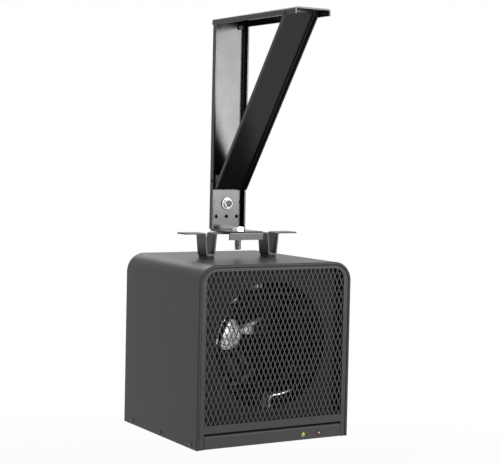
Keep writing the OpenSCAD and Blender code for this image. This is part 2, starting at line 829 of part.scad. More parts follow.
// Four straps behind the baffle that hold the rings from the back
module element_clips() color("#8d8d8b") {
    t = 1.5;
    w = 12;
    slant = 35;
    root = opening_r + sheet + 10;
    shift = ring_split*cos(slant);
    step_r = (ring_outer_r + ring_inner_r)/2 + shift;
    outer_back = ring_outer_y + tube_d/2 + rest_gap + t/2;
    inner_back = outer_back + ring_step;
    for (a = [slant, 180 - slant, 180 + slant, 360 - slant])
        translate([0, 0, axis_z]) rotate([0, -a, 0]) translate([0, 0, -w/2]) linear_extrude(w)
            folded([[root + 14, baffle_y + sheet + t/2], [root, baffle_y + sheet + t/2],
                [root, outer_back], [step_r + 0.5, outer_back], [step_r - 0.5, inner_back],
                [ring_inner_r + shift - 8, inner_back]], t, 1);
}

module element_bushings() color("#d8d4c8") each_lead()
    translate([0, 0, cover_z - 6]) difference() {
        union() {
            cylinder(d = tube_d + 4, h = 12);
            translate([0, 0, 6 + sheet]) cylinder(d = tube_d + 6, h = 3);
        }
        translate([0, 0, -1]) cylinder(d = tube_d + 2*rest_gap, h = 20);
    }

module fan_shroud() color("#39393b") {
    r = corner_r - sheet;
    difference() {
        union() {
            along_y(shroud_y, shroud_y + sheet) arch(inner_w, cover_z + sheet, top_z - sheet, r);
            skirt(inner_w, cover_z + sheet, top_z - sheet, r, sheet, shroud_y + sheet, shroud_y + 12);
            translate([0, 0, axis_z])
                rod_y(0, shroud_y, shroud_y + shroud_depth, 0, shroud_r + sheet);
        }
        translate([0, 0, axis_z]) rod_y(0, shroud_y - 1, shroud_y + 60, 0, shroud_r);
        both_sides() rod_y(strap_screw_x, shroud_y - 1, shroud_y + sheet + 1, axis_z,
            motor_screw_d/2 + hole_fit);
    }
}

// Cross strap from the shroud that carries the motor by its back flange
module motor_bracket() color("#6f6f70") {
    t = strap_t;
    w = 34;
    difference() {
        translate([0, 0, axis_z - w/2]) linear_extrude(w)
            folded([[-strap_foot - 16, shroud_y + sheet + t/2], [-strap_foot, shroud_y + sheet + t/2],
                [-strap_foot + 14, mount_y + t/2], [strap_foot - 14, mount_y + t/2],
                [strap_foot, shroud_y + sheet + t/2],
                [strap_foot + 16, shroud_y + sheet + t/2]], t, 3);
        rod_y(0, mount_y - 1, mount_y + t + 1, axis_z, motor_neck_r + 1);
        both_sides() rod_y(motor_screw_x, mount_y - 1, mount_y + t + 1, axis_z,
            motor_screw_d/2 + hole_fit);
        both_sides() rod_y(strap_screw_x, shroud_y, shroud_y + sheet + t + 1, axis_z,
            motor_screw_d/2 + hole_fit);
    }
}

module motor_screws() color("#c9c9c6") translate([0, 0, axis_z]) {
    both_sides() translate([motor_screw_x, mount_y, 0]) rotate([90, 0, 0])
        pan_screw(motor_screw_d, 8);
    both_sides() translate([strap_screw_x, shroud_y + sheet + strap_t, 0]) rotate([-90, 0, 0])
        pan_screw(motor_screw_d, sheet + strap_t);
}

// Motor: two end bells and a ribbed waist behind the cross strap
module fan_motor() color("#8a8a8c") {
    y0 = mount_y + strap_t;
    r = motor_d/2;
    difference() {
        translate([0, y0, axis_z]) {
            about_y() polygon([[shaft_d/2 + run_fit, 0], [r - 5, 0], [r, 5], [r, 16], [r - 3, 17],
                [r - 3, motor_l - 17], [r, motor_l - 16], [r, motor_l - 9], [r - 12, motor_l],
                [shaft_d/2 + run_fit, motor_l]]);
            about_y() difference() {
                translate([0, -motor_neck_r]) square([motor_neck_r, motor_neck_r + eps]);
                translate([-1, -motor_neck_r - 1])
                    square([1 + shaft_d/2 + run_fit, motor_neck_r + 2]);
            }
        }
        both_sides() rod_y(motor_screw_x, y0 - 1, y0 + 7, axis_z, motor_screw_d/2 + run_fit);
    }
}

// Thermal cut-out on the shroud, with two terminals towards the front
module thermal_cutout() color("#b9b9b5") {
    a = 54;
    r = shroud_r + 10;
    can_r = 8;
    can = 9;
    translate([r*cos(a), shroud_y, axis_z + r*sin(a)]) {
        rod_y(0, -can, 0, 0, can_r);
        box([-14, -sheet, -4], [14, 0, 4]);
        both_sides() box([4.4, -can - 6, -3.2], [5.6, eps - can, 3.2]);
    }
}

// ---- Wiring ---------------------------------------------------------------------

module wiring_cover() color("#7c7c7c") difference() {
    box([-inner_w, pan_lip_y, cover_z], [inner_w, plate_y, cover_z + sheet]);
    each_lead() rod_z(0, 0, cover_z - 1, cover_z + 3, tube_d/2 + 2 + rest_gap);
}

module terminal_block() color("#e0dccf") {
    x0 = gland_x - 34;
    y0 = plate_y - 70;
    pitch = 15;
    difference() {
        box([x0, y0, low_z + sheet], [x0 + 4*pitch + 4, y0 + 22, low_z + 20]);
        for (i = [0:3]) box([x0 + 4 + i*pitch, y0 - 1, low_z + 9],
            [x0 + pitch + i*pitch, y0 + 23, low_z + 21]);
    }
    for (i = [0:3]) translate([x0 + 2 + (i + 0.5)*pitch, y0 + 11, low_z + 9 - eps])
        cylinder(d = 7, h = 4);
}

module power_relay() color("#26262a") {
    x0 = -28;
    y0 = 20;
    box([x0, y0, low_z + sheet], [x0 + 46, y0 + 50, low_z + 30]);
    box([x0 - 7, y0 + 15, low_z + sheet], [x0 + 53, y0 + 35, low_z + sheet + 3]);
    for (i = [0:3]) box([x0 + 6 + i*10, y0 + 8, low_z + 30 - eps],
        [x0 + 6.8 + i*10, y0 + 14, low_z + 36]);
}

module thermostat_body() color("#d9d6cc") translate([-thermostat_x, plate_y, gland_z]) {
    rod_y(0, -24, -sheet, 0, 15);
    box([-17, -sheet, -9], [17, 0, 9]);
    rod_y(0, -eps, sheet*2 + stem_reach, 0, stem_d/2);
    for (x = [-8, 7]) box([x, -30, -3], [x + 1, -24 + eps, 3]);
}

module thermostat_knob() color("#202022") translate([-thermostat_x, rear_y + rest_gap, gland_z])
    difference() {
        union() {
            about_y() polygon([[0, 0], [knob_d/2, 0], [knob_d/2 - 1.5, 14], [knob_d/2 - 3, 15.5], [0, 15.5]]);
            box([-1, 8, knob_d/2 - 3], [1, 16.3, knob_d/2 - 0.8]);
        }
        for (i = [0:17]) rotate([0, i*20 + 10, 0]) rod_y(knob_d/2 + 0.8, 3, 17, 0, 1.6);
        rod_y(0, -1, stem_reach + 0.2, 0, stem_d/2 + run_fit);
    }

module cable_gland() color("#1e1e20") translate([gland_x, 0, gland_z]) difference() {
    union() {
        rod_y(0, plate_y - 10, rear_y + 1, 0, gland_r);
        translate([0, plate_y + sheet, 0]) rotate([-90, 0, 0]) hex(2*gland_r + 4.5, 7);
        about_y() polygon([[0, rear_y + 4], [gland_r + 1, rear_y + 4],
            [gland_r + 1, rear_y + 15], [gland_r - 2, rear_y + 21], [0, rear_y + 21]]);
    }
    rod_y(0, plate_y - 11, rear_y + 30, 0, cable_d/2);
}

module gland_nut() color("#1e1e20") translate([gland_x, plate_y - 6, gland_z])
    rotate([-90, 0, 0]) difference() {
        hex(2*gland_r + 5, 6);
        translate([0, 0, -1]) cylinder(r = gland_r + run_fit, h = 8);
    }

// ---- Fan ------------------------------------------------------------------------

module motor_shaft() color("#bdbdbd")
    rod_y(0, hub_y - 14, mount_y + motor_l - 6, axis_z, shaft_d/2);

module fan_hub() color("#cfcfcf") translate([0, hub_y, axis_z]) difference() {
    about_y() polygon([[0, -6], [9, -6], [9, -3], [hub_r - 3, -3], [hub_r, 0], [hub_r, 9],
        [hub_r - 1.5, 9], [hub_r - 1.5, 1], [hub_r - 3.6, -1.2], [9, -1.2], [9, 8], [0, 8]]);
    rod_y(0, -7, 9, 0, shaft_d/2 + run_fit);
    for (i = [0:7]) rotate([0, i*45 + 22.5, 0]) rod_y(19, -4, 2, 0, 4);
}

// Points of one blade: rows run from root to tip, each a curved and pitched chord
blade_rows = 7;
blade_cols = 6;
function blade_point(u, v, d) =
    let (r = hub_r + 0.5 + u*(fan_r - hub_r - 0.5),
         sweep = 14*u*u,
         half = 24 + 9*sin(90*u),
         a = sweep + (v - 0.5)*2*half*(1 - 0.25*u),
         depth = (v - 0.5)*blade_depth*(0.7 + 0.3*u) + 2.6*(1 - pow(2*v - 1, 2)) + d)
    [r*cos(a), depth, r*sin(a)];

module blade() {
    n = blade_cols + 1;
    count = (blade_rows + 1)*n;
    points = [for (d = [0, blade_t], i = [0:blade_rows], j = [0:blade_cols])
        blade_point(i/blade_rows, j/blade_cols, d)];
    at = function (side, i, j) side*count + i*n + j;
    quad = function (a, b, c, d) [[a, c, b], [a, d, c]];
    faces = [
        for (i = [0:blade_rows - 1], j = [0:blade_cols - 1]) each concat(
            quad(at(0, i, j), at(0, i + 1, j), at(0, i + 1, j + 1), at(0, i, j + 1)),
            quad(at(1, i, j), at(1, i, j + 1), at(1, i + 1, j + 1), at(1, i + 1, j))),
        for (i = [0:blade_rows - 1]) each concat(
            quad(at(0, i, 0), at(1, i, 0), at(1, i + 1, 0), at(0, i + 1, 0)),
            quad(at(0, i, blade_cols), at(0, i + 1, blade_cols),
                at(1, i + 1, blade_cols), at(1, i, blade_cols))),
        for (j = [0:blade_cols - 1]) each concat(
            quad(at(0, 0, j), at(0, 0, j + 1), at(1, 0, j + 1), at(1, 0, j)),
            quad(at(0, blade_rows, j), at(1, blade_rows, j),
                at(1, blade_rows, j + 1), at(0, blade_rows, j + 1)))];
    polyhedron(points, faces);
}

module fan_blades() color("#b4b4b4") translate([0, hub_y, axis_z]) {
    about_y() translate([hub_r + run_fit, -2]) square([1.6, 9]);
    for (i = [0:blades - 1]) rotate([0, i*360/blades, 0]) blade();
}

module hub_nut() color("#d2d2d0") translate([0, hub_y - 6, axis_z]) rotate([90, 0, 0])
    nut(shaft_d, 1.6*shaft_d, 6);

// ---- Parts shown ----------------------------------------------------------------

mast_channel();
ceiling_arm();
brace_channel();
foot_bracket();
arm_screws();
brace_rivets();
foot_rivets();
mast_bolt();
mast_washer();
mast_nut();
pivot_bolt();
pivot_washer();
pivot_nut();
yoke_strap();
yoke_pads();
yoke_screws();
yoke_nuts();
yoke_doubler();
casing();
base_pan();
edge_screws();
rear_panel();
rear_screws();
intake_guard();
front_bezel();
front_grille();
control_strip();
strip_seal();
lens_amber();
lens_red();
control_board();
baffle_plate();
element_outer();
element_inner();
element_clips();
element_bushings();
fan_shroud();
motor_bracket();
motor_screws();
fan_motor();
thermal_cutout();
wiring_cover();
terminal_block();
power_relay();
thermostat_body();
cable_gland();
gland_nut();
motor_shaft();
fan_hub();
fan_blades();
hub_nut();
thermostat_knob();
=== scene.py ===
"""Ceiling mounted fan heater: finishes, fine pieces and studio around its CAD frame."""

import math

import bmesh
import bpy
from bpy.props import FloatProperty, FloatVectorProperty, IntProperty, PointerProperty
from mathutils import Matrix, Quaternion, Vector


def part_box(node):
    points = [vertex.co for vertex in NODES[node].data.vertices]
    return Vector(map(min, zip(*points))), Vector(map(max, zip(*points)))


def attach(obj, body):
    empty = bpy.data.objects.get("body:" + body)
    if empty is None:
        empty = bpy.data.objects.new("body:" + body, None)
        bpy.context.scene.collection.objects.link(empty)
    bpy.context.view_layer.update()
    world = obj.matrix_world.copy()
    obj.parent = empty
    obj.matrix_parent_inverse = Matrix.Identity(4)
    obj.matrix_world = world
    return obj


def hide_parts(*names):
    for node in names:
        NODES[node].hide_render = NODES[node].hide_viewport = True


bl_info = {
    "name": "Ceiling Fan Heater",
    "version": (1, 0, 0),
    "blender": (4, 5, 0),
    "location": "3D Viewport > Sidebar > Fan Heater",
    "description": "Finishes a ceiling mounted fan heater around its CAD frame",
    "category": "Object",
}

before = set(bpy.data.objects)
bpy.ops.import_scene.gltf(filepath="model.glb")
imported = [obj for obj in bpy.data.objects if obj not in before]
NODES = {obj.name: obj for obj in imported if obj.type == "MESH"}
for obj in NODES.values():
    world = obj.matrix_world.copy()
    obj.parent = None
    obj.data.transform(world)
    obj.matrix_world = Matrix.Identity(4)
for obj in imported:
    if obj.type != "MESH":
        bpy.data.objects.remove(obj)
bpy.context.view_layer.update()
MM = 0.001
QUARTER_TURN = math.radians(90)
ORIGIN = (0, 0, 0)
UP = Vector((0, 0, 1))
FRONT = Vector((0, -1, 0))
BACK = Vector((0, 1, 0))
LEFT = Vector((-1, 0, 0))
RIGHT = Vector((1, 0, 0))


# ---- Measures taken from the frame ---------------------------------------------


def middle(node):
    """The middle of a CAD node's box."""
    low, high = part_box(node)
    return (low + high) / 2


def facing(node, axis):
    """The middle of the end of a node's box towards axis, and the box's length along it."""
    low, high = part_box(node)
    size = abs((high - low).dot(axis))
    return (low + high) / 2 + axis * (size / 2), size


def islands(node):
    """The boxes of a CAD node's separate solids, as (lowest, highest) corners."""
    mesh = bmesh.new()
    mesh.from_mesh(NODES[node].data)
    bmesh.ops.remove_doubles(mesh, verts=mesh.verts, dist=1e-6)
    mesh.verts.ensure_lookup_table()
    seen, boxes = set(), []
    for start in mesh.verts:
        if start.index in seen:
            continue
        stack, points = [start], []
        seen.add(start.index)
        while stack:
            vertex = stack.pop()
            points.append(vertex.co.copy())
            for edge in vertex.link_edges:
                other = edge.other_vert(vertex)
                if other.index not in seen:
                    seen.add(other.index)
                    stack.append(other)
        low = Vector([min(p[i] for p in points) for i in range(3)])
        high = Vector([max(p[i] for p in points) for i in range(3)])
        boxes.append((low, high))
    mesh.free()
    return boxes


AXIS_Z = middle("fan_hub").z


# ---- Settings ------------------------------------------------------------------


def colour(name, description, default):
    """A colour that the user can change."""
    return FloatVectorProperty(
        name=name, description=description, default=default, size=3, min=0, max=1, subtype="COLOR"
    )


def number(name, description, default, low, high, kind="NONE", unit="NONE"):
    """A number between low and high that the user can change."""
    return FloatProperty(
        name=name,
        description=description,
        default=default,
        min=low,
        max=high,
        subtype=kind,
        unit=unit,
    )


def length(name, description, default, low, high):
    """A length in metres."""
    return number(name, description, default, low, high, "DISTANCE", "LENGTH")


def angle(name, description, degrees, low, high):
    """An angle, given in degrees and kept in radians."""
    turns = [math.radians(value) for value in (degrees, low, high)]
    return number(name, description, *turns, "ANGLE", "ROTATION")


def share(name, description, default):
    """A share from 0 to 1."""
    return number(name, description, default, 0, 1, "FACTOR")


def power(name, description, default):
    """The power of a lamp in watts."""
    return number(name, description, default, 0, 1000, unit="POWER")


class PaintSettings(bpy.types.PropertyGroup):
    """Paints and powder coats"""

    casing: colour("Casing", "Powder coat of the casing", (0.042, 0.042, 0.043))
    casing_roughness: share("Casing roughness", "Roughness of the powder coat", 0.38)
    bracket: colour("Bracket", "Paint of the hanging bracket", (0.006, 0.006, 0.0063))
    bracket_roughness: share("Bracket roughness", "Roughness of the bracket's paint", 0.22)
    yoke: colour("Yoke", "Paint of the yoke strap", (0.012, 0.012, 0.013))
    mesh: colour("Mesh", "Coat of the front mesh", (0.062, 0.062, 0.063))
    inner: colour("Inner sheets", "Paint of the baffle and shroud", (0.007, 0.007, 0.0072))


class MetalSettings(bpy.types.PropertyGroup):
    """Bare and plated metals"""

    zinc: colour("Zinc", "Bright zinc plate of the bolts", (0.80, 0.80, 0.79))
    galvanised: colour("Galvanised", "Galvanised sheet", (0.46, 0.47, 0.48))
    element: colour("Element", "Sheath of the heating tubes", (0.012, 0.012, 0.012))
    fan: colour("Fan", "Bright sheet of the fan", (0.86, 0.86, 0.87))


class MeshSettings(bpy.types.PropertyGroup):
    """Sizes of the expanded metal in the front"""

    pitch: length("Pitch across", "Distance of neighbouring diamonds", 10.4 * MM, 0.008, 0.014)
    rise: length("Pitch up", "Height of one diamond", 24 * MM, 0.018, 0.030)
    strand: length("Strand", "Width of a strand", 2.0 * MM, 0.0012, 0.003)
    rounding: length("Rounding", "Rounding of the strands' edges", 0.3 * MM, 0.0001, 0.0005)
    sheet: length("Sheet", "Thickness of the expanded sheet", 1.1 * MM, 0.0008, 0.0015)
    slant: length("Slant", "How far a strand's edges lean out of the sheet", 0.32 * MM, 0, 0.0006)
    corner: length("Corner", "Corner radius of the mesh opening", 22 * MM, 0.015, 0.030)


class FanSettings(bpy.types.PropertyGroup):
    """Shape of the fan's blades"""

    blade_half: angle("Half blade", "Half the angle that one blade covers", 42, 30, 50)
    sweep: angle("Sweep", "How far the tip of a blade leads its root", 14, 0, 20)
    camber: length("Camber", "Rise of a blade's middle", 2.6 * MM, 0, 0.004)
    rake: share("Rake", "How much a blade's root half leans forward", 0.30)
    sheet: length("Blade sheet", "Thickness of the blade sheet", 1.6 * MM, 0.001, 0.002)
    tip_round: length("Tip rounding", "Rounding of the outer corners", 12 * MM, 0.004, 0.020)


class FastenerSettings(bpy.types.PropertyGroup):
    """Sizes that bolts and screws share"""

    pitch: length("Thread pitch", "Pitch of the threads", 2.0 * MM, 0.001, 0.003)
    hollow: length("Hollow", "Width of the hollow inside a pan head", 1.3 * MM, 0.0008, 0.002)
    sides: IntProperty(
        name="Sides", description="Sides of a round piece", default=40, min=16, max=96
    )


class StudioSettings(bpy.types.PropertyGroup):
    """Floor and light"""

    floor_drop: length("Floor", "Distance from the ceiling to the floor", 1.6, 1.0, 3.0)
    key_power: power("Key light", "Power of the large front light", 33)
    fill_power: power("Fill light", "Power of the low light at the left", 2)
    spot_power: power("Spot light", "Power of the small front light", 10)
    rim_power: power("Rim light", "Power of the light above the back", 12)
    sky: share("Surround", "Strength of the even light from all round", 0.52)


# ---- Selecting and modelling ---------------------------------------------------


def nothing_selected():
    """Deselects every object."""
    bpy.ops.object.select_all(action="DESELECT")


def only(piece):
    """Makes piece the active and only selected object."""
    nothing_selected()
    piece.select_set(True)
    bpy.context.view_layer.objects.active = piece


def named(name):
    """The object that was just added, under its own name."""
    piece = bpy.context.object
    piece.name = name
    piece.data.name = name
    return piece


def edit(piece, select="DESELECT"):
    """Opens piece for modelling, with nothing selected or, for SELECT, all of it."""
    only(piece)
    bpy.ops.object.mode_set(mode="EDIT")
    bpy.ops.mesh.select_all(action=select)


def done():
    """Closes the piece that edit opened."""
    bpy.ops.object.mode_set(mode="OBJECT")


def pick(piece, kind, test):
    """Selects the faces, edges or verts for which test(their middle, element) holds."""
    bpy.ops.mesh.select_mode(type={"faces": "FACE", "edges": "EDGE", "verts": "VERT"}[kind])
    mesh = bmesh.from_edit_mesh(piece.data)
    for element in getattr(mesh, kind):
        if kind == "verts":
            place = element.co
        else:
            place = sum((v.co for v in element.verts), Vector()) / len(element.verts)
        element.select_set(bool(test(place, element)))
    mesh.select_flush_mode()
    bmesh.update_edit_mesh(piece.data)


def apply_modifier(piece, kind, **values):
    """Adds one modifier to piece and applies it."""
    only(piece)
    modifier = piece.modifiers.new(kind.title(), kind)
    for name, value in values.items():
        setattr(modifier, name, value)
    bpy.ops.object.modifier_apply(modifier=modifier.name)
    return piece


def carve(piece, tool, operation="DIFFERENCE"):
    """Cuts tool from piece, or unites or intersects them, and removes the tool."""
    apply_modifier(piece, "BOOLEAN", operation=operation, object=tool, solver="EXACT")
    bpy.data.meshes.remove(tool.data)
    return piece


def turned(name, profile, sides):
    """A closed turned piece on +Z, from (radius, height) points listed upwards."""
    nothing_selected()
    radius, height = profile[0]
    bpy.ops.mesh.primitive_circle_add(
        vertices=sides, radius=radius, fill_type="NGON", location=(0, 0, height)
    )
    piece = named(name)
    bpy.ops.object.transform_apply(location=True)
    edit(piece, "SELECT")
    for r, z in profile[1:]:
        bpy.ops.mesh.extrude_region_move(
            TRANSFORM_OT_translate={"value": (0, 0, z - height)}
        )
        if abs(r - radius) > 1e-9:
            bpy.ops.transform.resize(
                value=(r / radius, r / radius, 1), center_override=(0, 0, z)
            )
        radius, height = r, z
    bpy.ops.mesh.select_all(action="SELECT")
    bpy.ops.mesh.normals_make_consistent(inside=False)
    done()
    return piece


def opened_box(name, size):
    """A box of a size round the origin, open for modelling with all of it selected."""
    nothing_selected()
    bpy.ops.mesh.primitive_cube_add(size=1, location=ORIGIN)
    piece = named(name)
    edit(piece, "SELECT")
    bpy.ops.transform.resize(value=size, center_override=ORIGIN)
    return piece


def put(piece, at, towards=UP, spin=0.0):
    """Turns a piece modelled on +Z to point along towards, with its origin at a point."""
    turn = Vector(towards).to_track_quat("Z", "Y") @ Quaternion((0, 0, 1), spin)
    only(piece)
    piece.matrix_world = Matrix.Translation(at) @ turn.to_matrix().to_4x4()
    bpy.ops.object.transform_apply(location=True, rotation=True, scale=True)
    return piece


def rotated(piece, turns):
    """Turns a piece about the origin by its angles about X, Y and Z."""
    only(piece)
    piece.rotation_euler = turns
    bpy.ops.object.transform_apply(rotation=True)
    return piece


def about_fan_axis(piece, turn):
    """Turns a piece about the fan's axis, anticlockwise seen from the front."""
    return rotated(piece, (0, -turn, 0))


def moved(piece, by):
    """Moves a piece by a vector."""
    only(piece)
    bpy.ops.transform.translate(value=by)
    bpy.ops.object.transform_apply(location=True)
    return piece


def copied(piece, name):
    """A copy of piece with its own mesh."""
    only(piece)
    bpy.ops.object.duplicate()
    return named(name)


def repeated(piece, count, step):
    """A row of count copies of piece, step apart, in one mesh."""
    return apply_modifier(
        piece,
        "ARRAY",
        count=count,
        use_relative_offset=False,
        use_constant_offset=True,
        constant_offset_displace=step,
    )


def joined(name, pieces):
    """All the pieces as one object."""
    nothing_selected()
    for piece in pieces:
        piece.select_set(True)
    bpy.context.view_layer.objects.active = pieces[0]
    bpy.ops.object.join()
    return named(name)


def cut_off(piece, point, normal):
    """Cuts off what lies beyond a plane and closes the cut."""
    edit(piece, "SELECT")
    bpy.ops.mesh.bisect(plane_co=point, plane_no=normal, use_fill=True, clear_outer=True)
    done()


def drilled(piece, radius, height, sides):
    """Drills a plain hole of a radius along Z through a height."""
    return carve(piece, turned("bore", [(radius, -MM), (radius, height + MM)], sides))


def bored(piece, radius, height, flare, sides):
    """Bores a hole of a radius along Z through a height, countersunk at both ends."""
    wide = radius + flare
    profile = [(wide, -MM), (wide, 0), (radius, flare), (radius, height - flare)]
    profile += [(wide, height), (wide, height + MM)]
    return carve(piece, turned("bore", profile, sides))


def finished(piece, body, material, smooth=35, stands_for=()):
    """Gives a new piece its shading, material and body, and hides the nodes it stands for."""
    only(piece)
    bpy.ops.object.shade_smooth_by_angle(angle=math.radians(smooth))
    piece.data.materials.clear()
    piece.data.materials.append(material)
    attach(piece, body)
    if stands_for:
        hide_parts(*stands_for)


def dress(material, *nodes):
    """Gives CAD nodes a material."""
    for node in nodes:
        for place in NODES[node].material_slots:
            place.material = material


# ---- Material nodes ------------------------------------------------------------


# Places of the colour sockets on a Mix node, whose names they share with others
MIX_FIRST, MIX_SECOND, MIX_RESULT = 6, 7, 2


def new_node(tree, kind, feeds=None, **values):
    """Adds a node. feeds gives its inputs a value or another node's output each."""
    made = tree.nodes.new(kind)
    for name, value in values.items():
        setattr(made, name, value)
    for socket, feed in (feeds or {}).items():
        if isinstance(feed, bpy.types.NodeSocket):
            tree.links.new(feed, made.inputs[socket])
        else:
            made.inputs[socket].default_value = feed
    return made


def maths(tree, operation, first, second):
    """The result of an operation on two numbers or outputs."""
    return new_node(tree, "ShaderNodeMath", {0: first, 1: second}, operation=operation).outputs[0]


def map_range(tree, value, low, high, start, end):
    """value, which runs from start to end, mapped to low to high."""
    feeds = {"Value": value, "From Min": start, "From Max": end, "To Min": low, "To Max": high}
    return new_node(tree, "ShaderNodeMapRange", feeds).outputs["Result"]


def shade(base, by, plus=0.0):
    """A colour made lighter or darker."""
    return [c * by + plus for c in base]


def grey(value):
    """A neutral colour."""
    return (value, value, value)


class Finish:
    """A node material under construction: one Principled shader and its patterns."""

    def __init__(self, name, base, roughness, metallic=0.0, specular=0.5, **more):
        self.material = bpy.data.materials.new(name)
        self.material.use_nodes = True
        self.tree = self.material.node_tree
        self.shader = self.tree.nodes["Principled BSDF"]
        self.base = (*base, 1)
        self.material.diffuse_color = self.base
        more.update(Roughness=roughness, Metallic=metallic, Specular_IOR_Level=specular)
        more.update(Base_Color=self.base)
        for socket, value in more.items():
            self.shader.inputs[socket.replace("_", " ")].default_value = value
        self.colour_out = None
        self.bump_out = None

    def node(self, kind, feeds=None, **values):
        """Adds a node to this material."""
        return new_node(self.tree, kind, feeds, **values)

    def drive(self, socket, value):
        """Lets a pattern set one of the shader's inputs."""
        self.tree.links.new(value, self.shader.inputs[socket])

    def place(self, centre=ORIGIN, turn=(0, 0, 0), scale=(1, 1, 1)):
        """Object coordinates, centred on a point, turned and stretched."""
        coordinates = self.node("ShaderNodeTexCoord").outputs["Object"]
        feeds = {"Vector": coordinates, "Location": [-c for c in centre]}
        shift = self.node("ShaderNodeMapping", feeds).outputs["Vector"]
        feeds = {"Vector": shift, "Rotation": turn, "Scale": scale}
        return self.node("ShaderNodeMapping", feeds).outputs["Vector"]

    def away(self, centre, scale=(1, 1, 1)):
        """Distance from a point, or from a line through it along an axis of scale 0."""
        feeds = {0: self.place(centre=centre, scale=scale)}
        return self.node("ShaderNodeVectorMath", feeds, operation="LENGTH").outputs["Value"]

    def noise(self, size, detail):
        """Cloudy pattern with features of about size metres, from 0 to 1."""
        feeds = {"Vector": self.place(), "Scale": 1 / size, "Detail": detail}
        return self.node("ShaderNodeTexNoise", feeds).outputs["Fac"]

    def cells(self, size, output):
        """Crystal pattern with cells of about size metres."""
        feeds = {"Vector": self.place(), "Scale": 1 / size}
        return self.node("ShaderNodeTexVoronoi", feeds).outputs[output]

    def ranged(self, value, low, high, start=0.0, end=1.0):
        """value, which runs from start to end, mapped to low to high."""
        return map_range(self.tree, value, low, high, start, end)

    def clouds(self, size, detail, start, end, most=1.0):
        """Mask of clouds of about size metres, where noise rises from start to end."""
        return self.ranged(self.noise(size, detail), 0, most, start, end)

    def tint(self, mask, other, blend="MIX"):
        """Mixes the colour so far with other where mask is 1."""
        feeds = {"Factor": mask, MIX_FIRST: self.colour_out or self.base, MIX_SECOND: (*other, 1)}
        mix = self.node("ShaderNodeMix", feeds, data_type="RGBA", blend_type=blend)
        self.colour_out = mix.outputs[MIX_RESULT]
        self.drive("Base Color", self.colour_out)

    def rough(self, pattern, low, high, start=0.3, end=0.7):
        """Roughness that follows a pattern."""
        self.drive("Roughness", self.ranged(pattern, low, high, start, end))

    def bump(self, pattern, depth, strength):
        """Relief of depth metres from a pattern, on top of the relief so far."""
        feeds = {"Height": pattern, "Distance": depth, "Strength": strength}
        if self.bump_out:
            feeds["Normal"] = self.bump_out
        self.bump_out = self.node("ShaderNodeBump", feeds).outputs["Normal"]
        self.drive("Normal", self.bump_out)

    def bevelled(self, radius):
        """The surface's direction, with sharp edges rounded to a radius."""
        return self.node("ShaderNodeBevel", {"Radius": radius}, samples=4).outputs["Normal"]

    def soft_edges(self, radius):
        """Rounds the sharp edges in the shading, and starts the relief there."""
        self.bump_out = self.bevelled(radius)
        self.drive("Normal", self.bump_out)

    def edge_wear_and_highlight(self, radius):
        """1 along sharp edges and 0 on faces; it lightens edges as wear and as a painted edge
        highlight.
        """
        flat = self.node("ShaderNodeNewGeometry").outputs["Normal"]
        feeds = {0: self.bevelled(radius), 1: flat}
        dot = self.node("ShaderNodeVectorMath", feeds, operation="DOT_PRODUCT").outputs["Value"]
        return self.ranged(dot, 1.0, 0.0, 0.82, 0.99)


# ---- Finishes ------------------------------------------------------------------


# Number of blades, and the highlight band of each, outside which a blade is painted shade:
# its start, in degrees anticlockwise from the fan's right side, and its width
BLADES = 5
HIGHLIGHT_BAND_START, HIGHLIGHT_BAND_WIDTH = -5, 28


def powder_coat(name, base, roughness, relief=0.035 * MM, specular=0.18):
    """Fine textured powder coat, lighter grey along its edges: partly wear, partly a painted edge
    highlight.
    """
    coat = Finish(name, base, roughness, specular=specular)
    coat.soft_edges(0.8 * MM)
    coat.tint(coat.clouds(60 * MM, 3, 0.35, 0.65), shade(base, 1.1))
    # Lighter grey along the edges: partly wear, partly a painted edge highlight.
    coat.tint(coat.edge_wear_and_highlight(0.9 * MM), shade(base, 1.4, 0.006))
    speckle = coat.noise(0.9 * MM, 2)
    coat.rough(speckle, roughness - 0.05, roughness + 0.06)
    coat.bump(speckle, relief, 0.6)
    coat.bump(coat.noise(9 * MM, 1), 0.05 * MM, 0.25)
    return coat.material


def gloss_paint(name, base, roughness):
    """Semi-gloss paint over sheet metal with a little orange peel."""
    paint = Finish(name, base, roughness, specular=0.33)
    paint.soft_edges(0.7 * MM)
    paint.tint(paint.clouds(45 * MM, 3, 0.35, 0.65), shade(base, 1.1))
    # Lighter grey along the edges: partly wear, partly a painted edge highlight.
    paint.tint(paint.edge_wear_and_highlight(0.6 * MM), shade(base, 1.4, 0.004))
    paint.rough(paint.noise(30 * MM, 2), roughness - 0.01, roughness + 0.015)
    paint.bump(paint.noise(3.0 * MM, 1), 0.006 * MM, 0.4)
    return paint.material


def plated(name, base, roughness):
    """Bright plate with faint blue and yellow clouds and a fine grain."""
    plate = Finish(name, base, roughness, metallic=1.0)
    plate.soft_edges(0.35 * MM)
    red, green, blue = base
    plate.tint(plate.clouds(7 * MM, 3, 0.4, 0.7), (red * 0.86, green * 0.88, blue * 0.91))
    plate.tint(plate.clouds(11 * MM, 2, 0.5, 0.75, 0.5), (red, green * 0.98, blue * 0.92))
    plate.rough(plate.noise(1.6 * MM, 3), roughness - 0.06, roughness + 0.10)
    plate.bump(plate.noise(0.5 * MM, 2), 0.01 * MM, 0.4)
    return plate.material


def dished_head_painted_shade(name, base, roughness, centre, radius):
    """Zinc plate whose dished middle, round an axis along Y, is painted a matt grey for its shade:
    painted shade.
    """
    plate = Finish(name, base, roughness, metallic=1.0)
    plate.soft_edges(0.35 * MM)
    # Painted shade: the dish is grey, matt and not metallic.
    painted_shade = plate.ranged(plate.away(centre, (1, 0, 1)), 1, 0, radius * 0.93, radius)
    plate.tint(painted_shade, (0.19, 0.20, 0.19))
    plate.tint(plate.clouds(4 * MM, 2, 0.4, 0.65, 0.6), shade(base, 0.8), "MULTIPLY")
    plate.drive("Metallic", plate.ranged(painted_shade, 1, 0))
    plate.drive("Roughness", plate.ranged(painted_shade, roughness, 0.85))
    plate.bump(plate.noise(0.5 * MM, 2), 0.01 * MM, 0.4)
    return plate.material


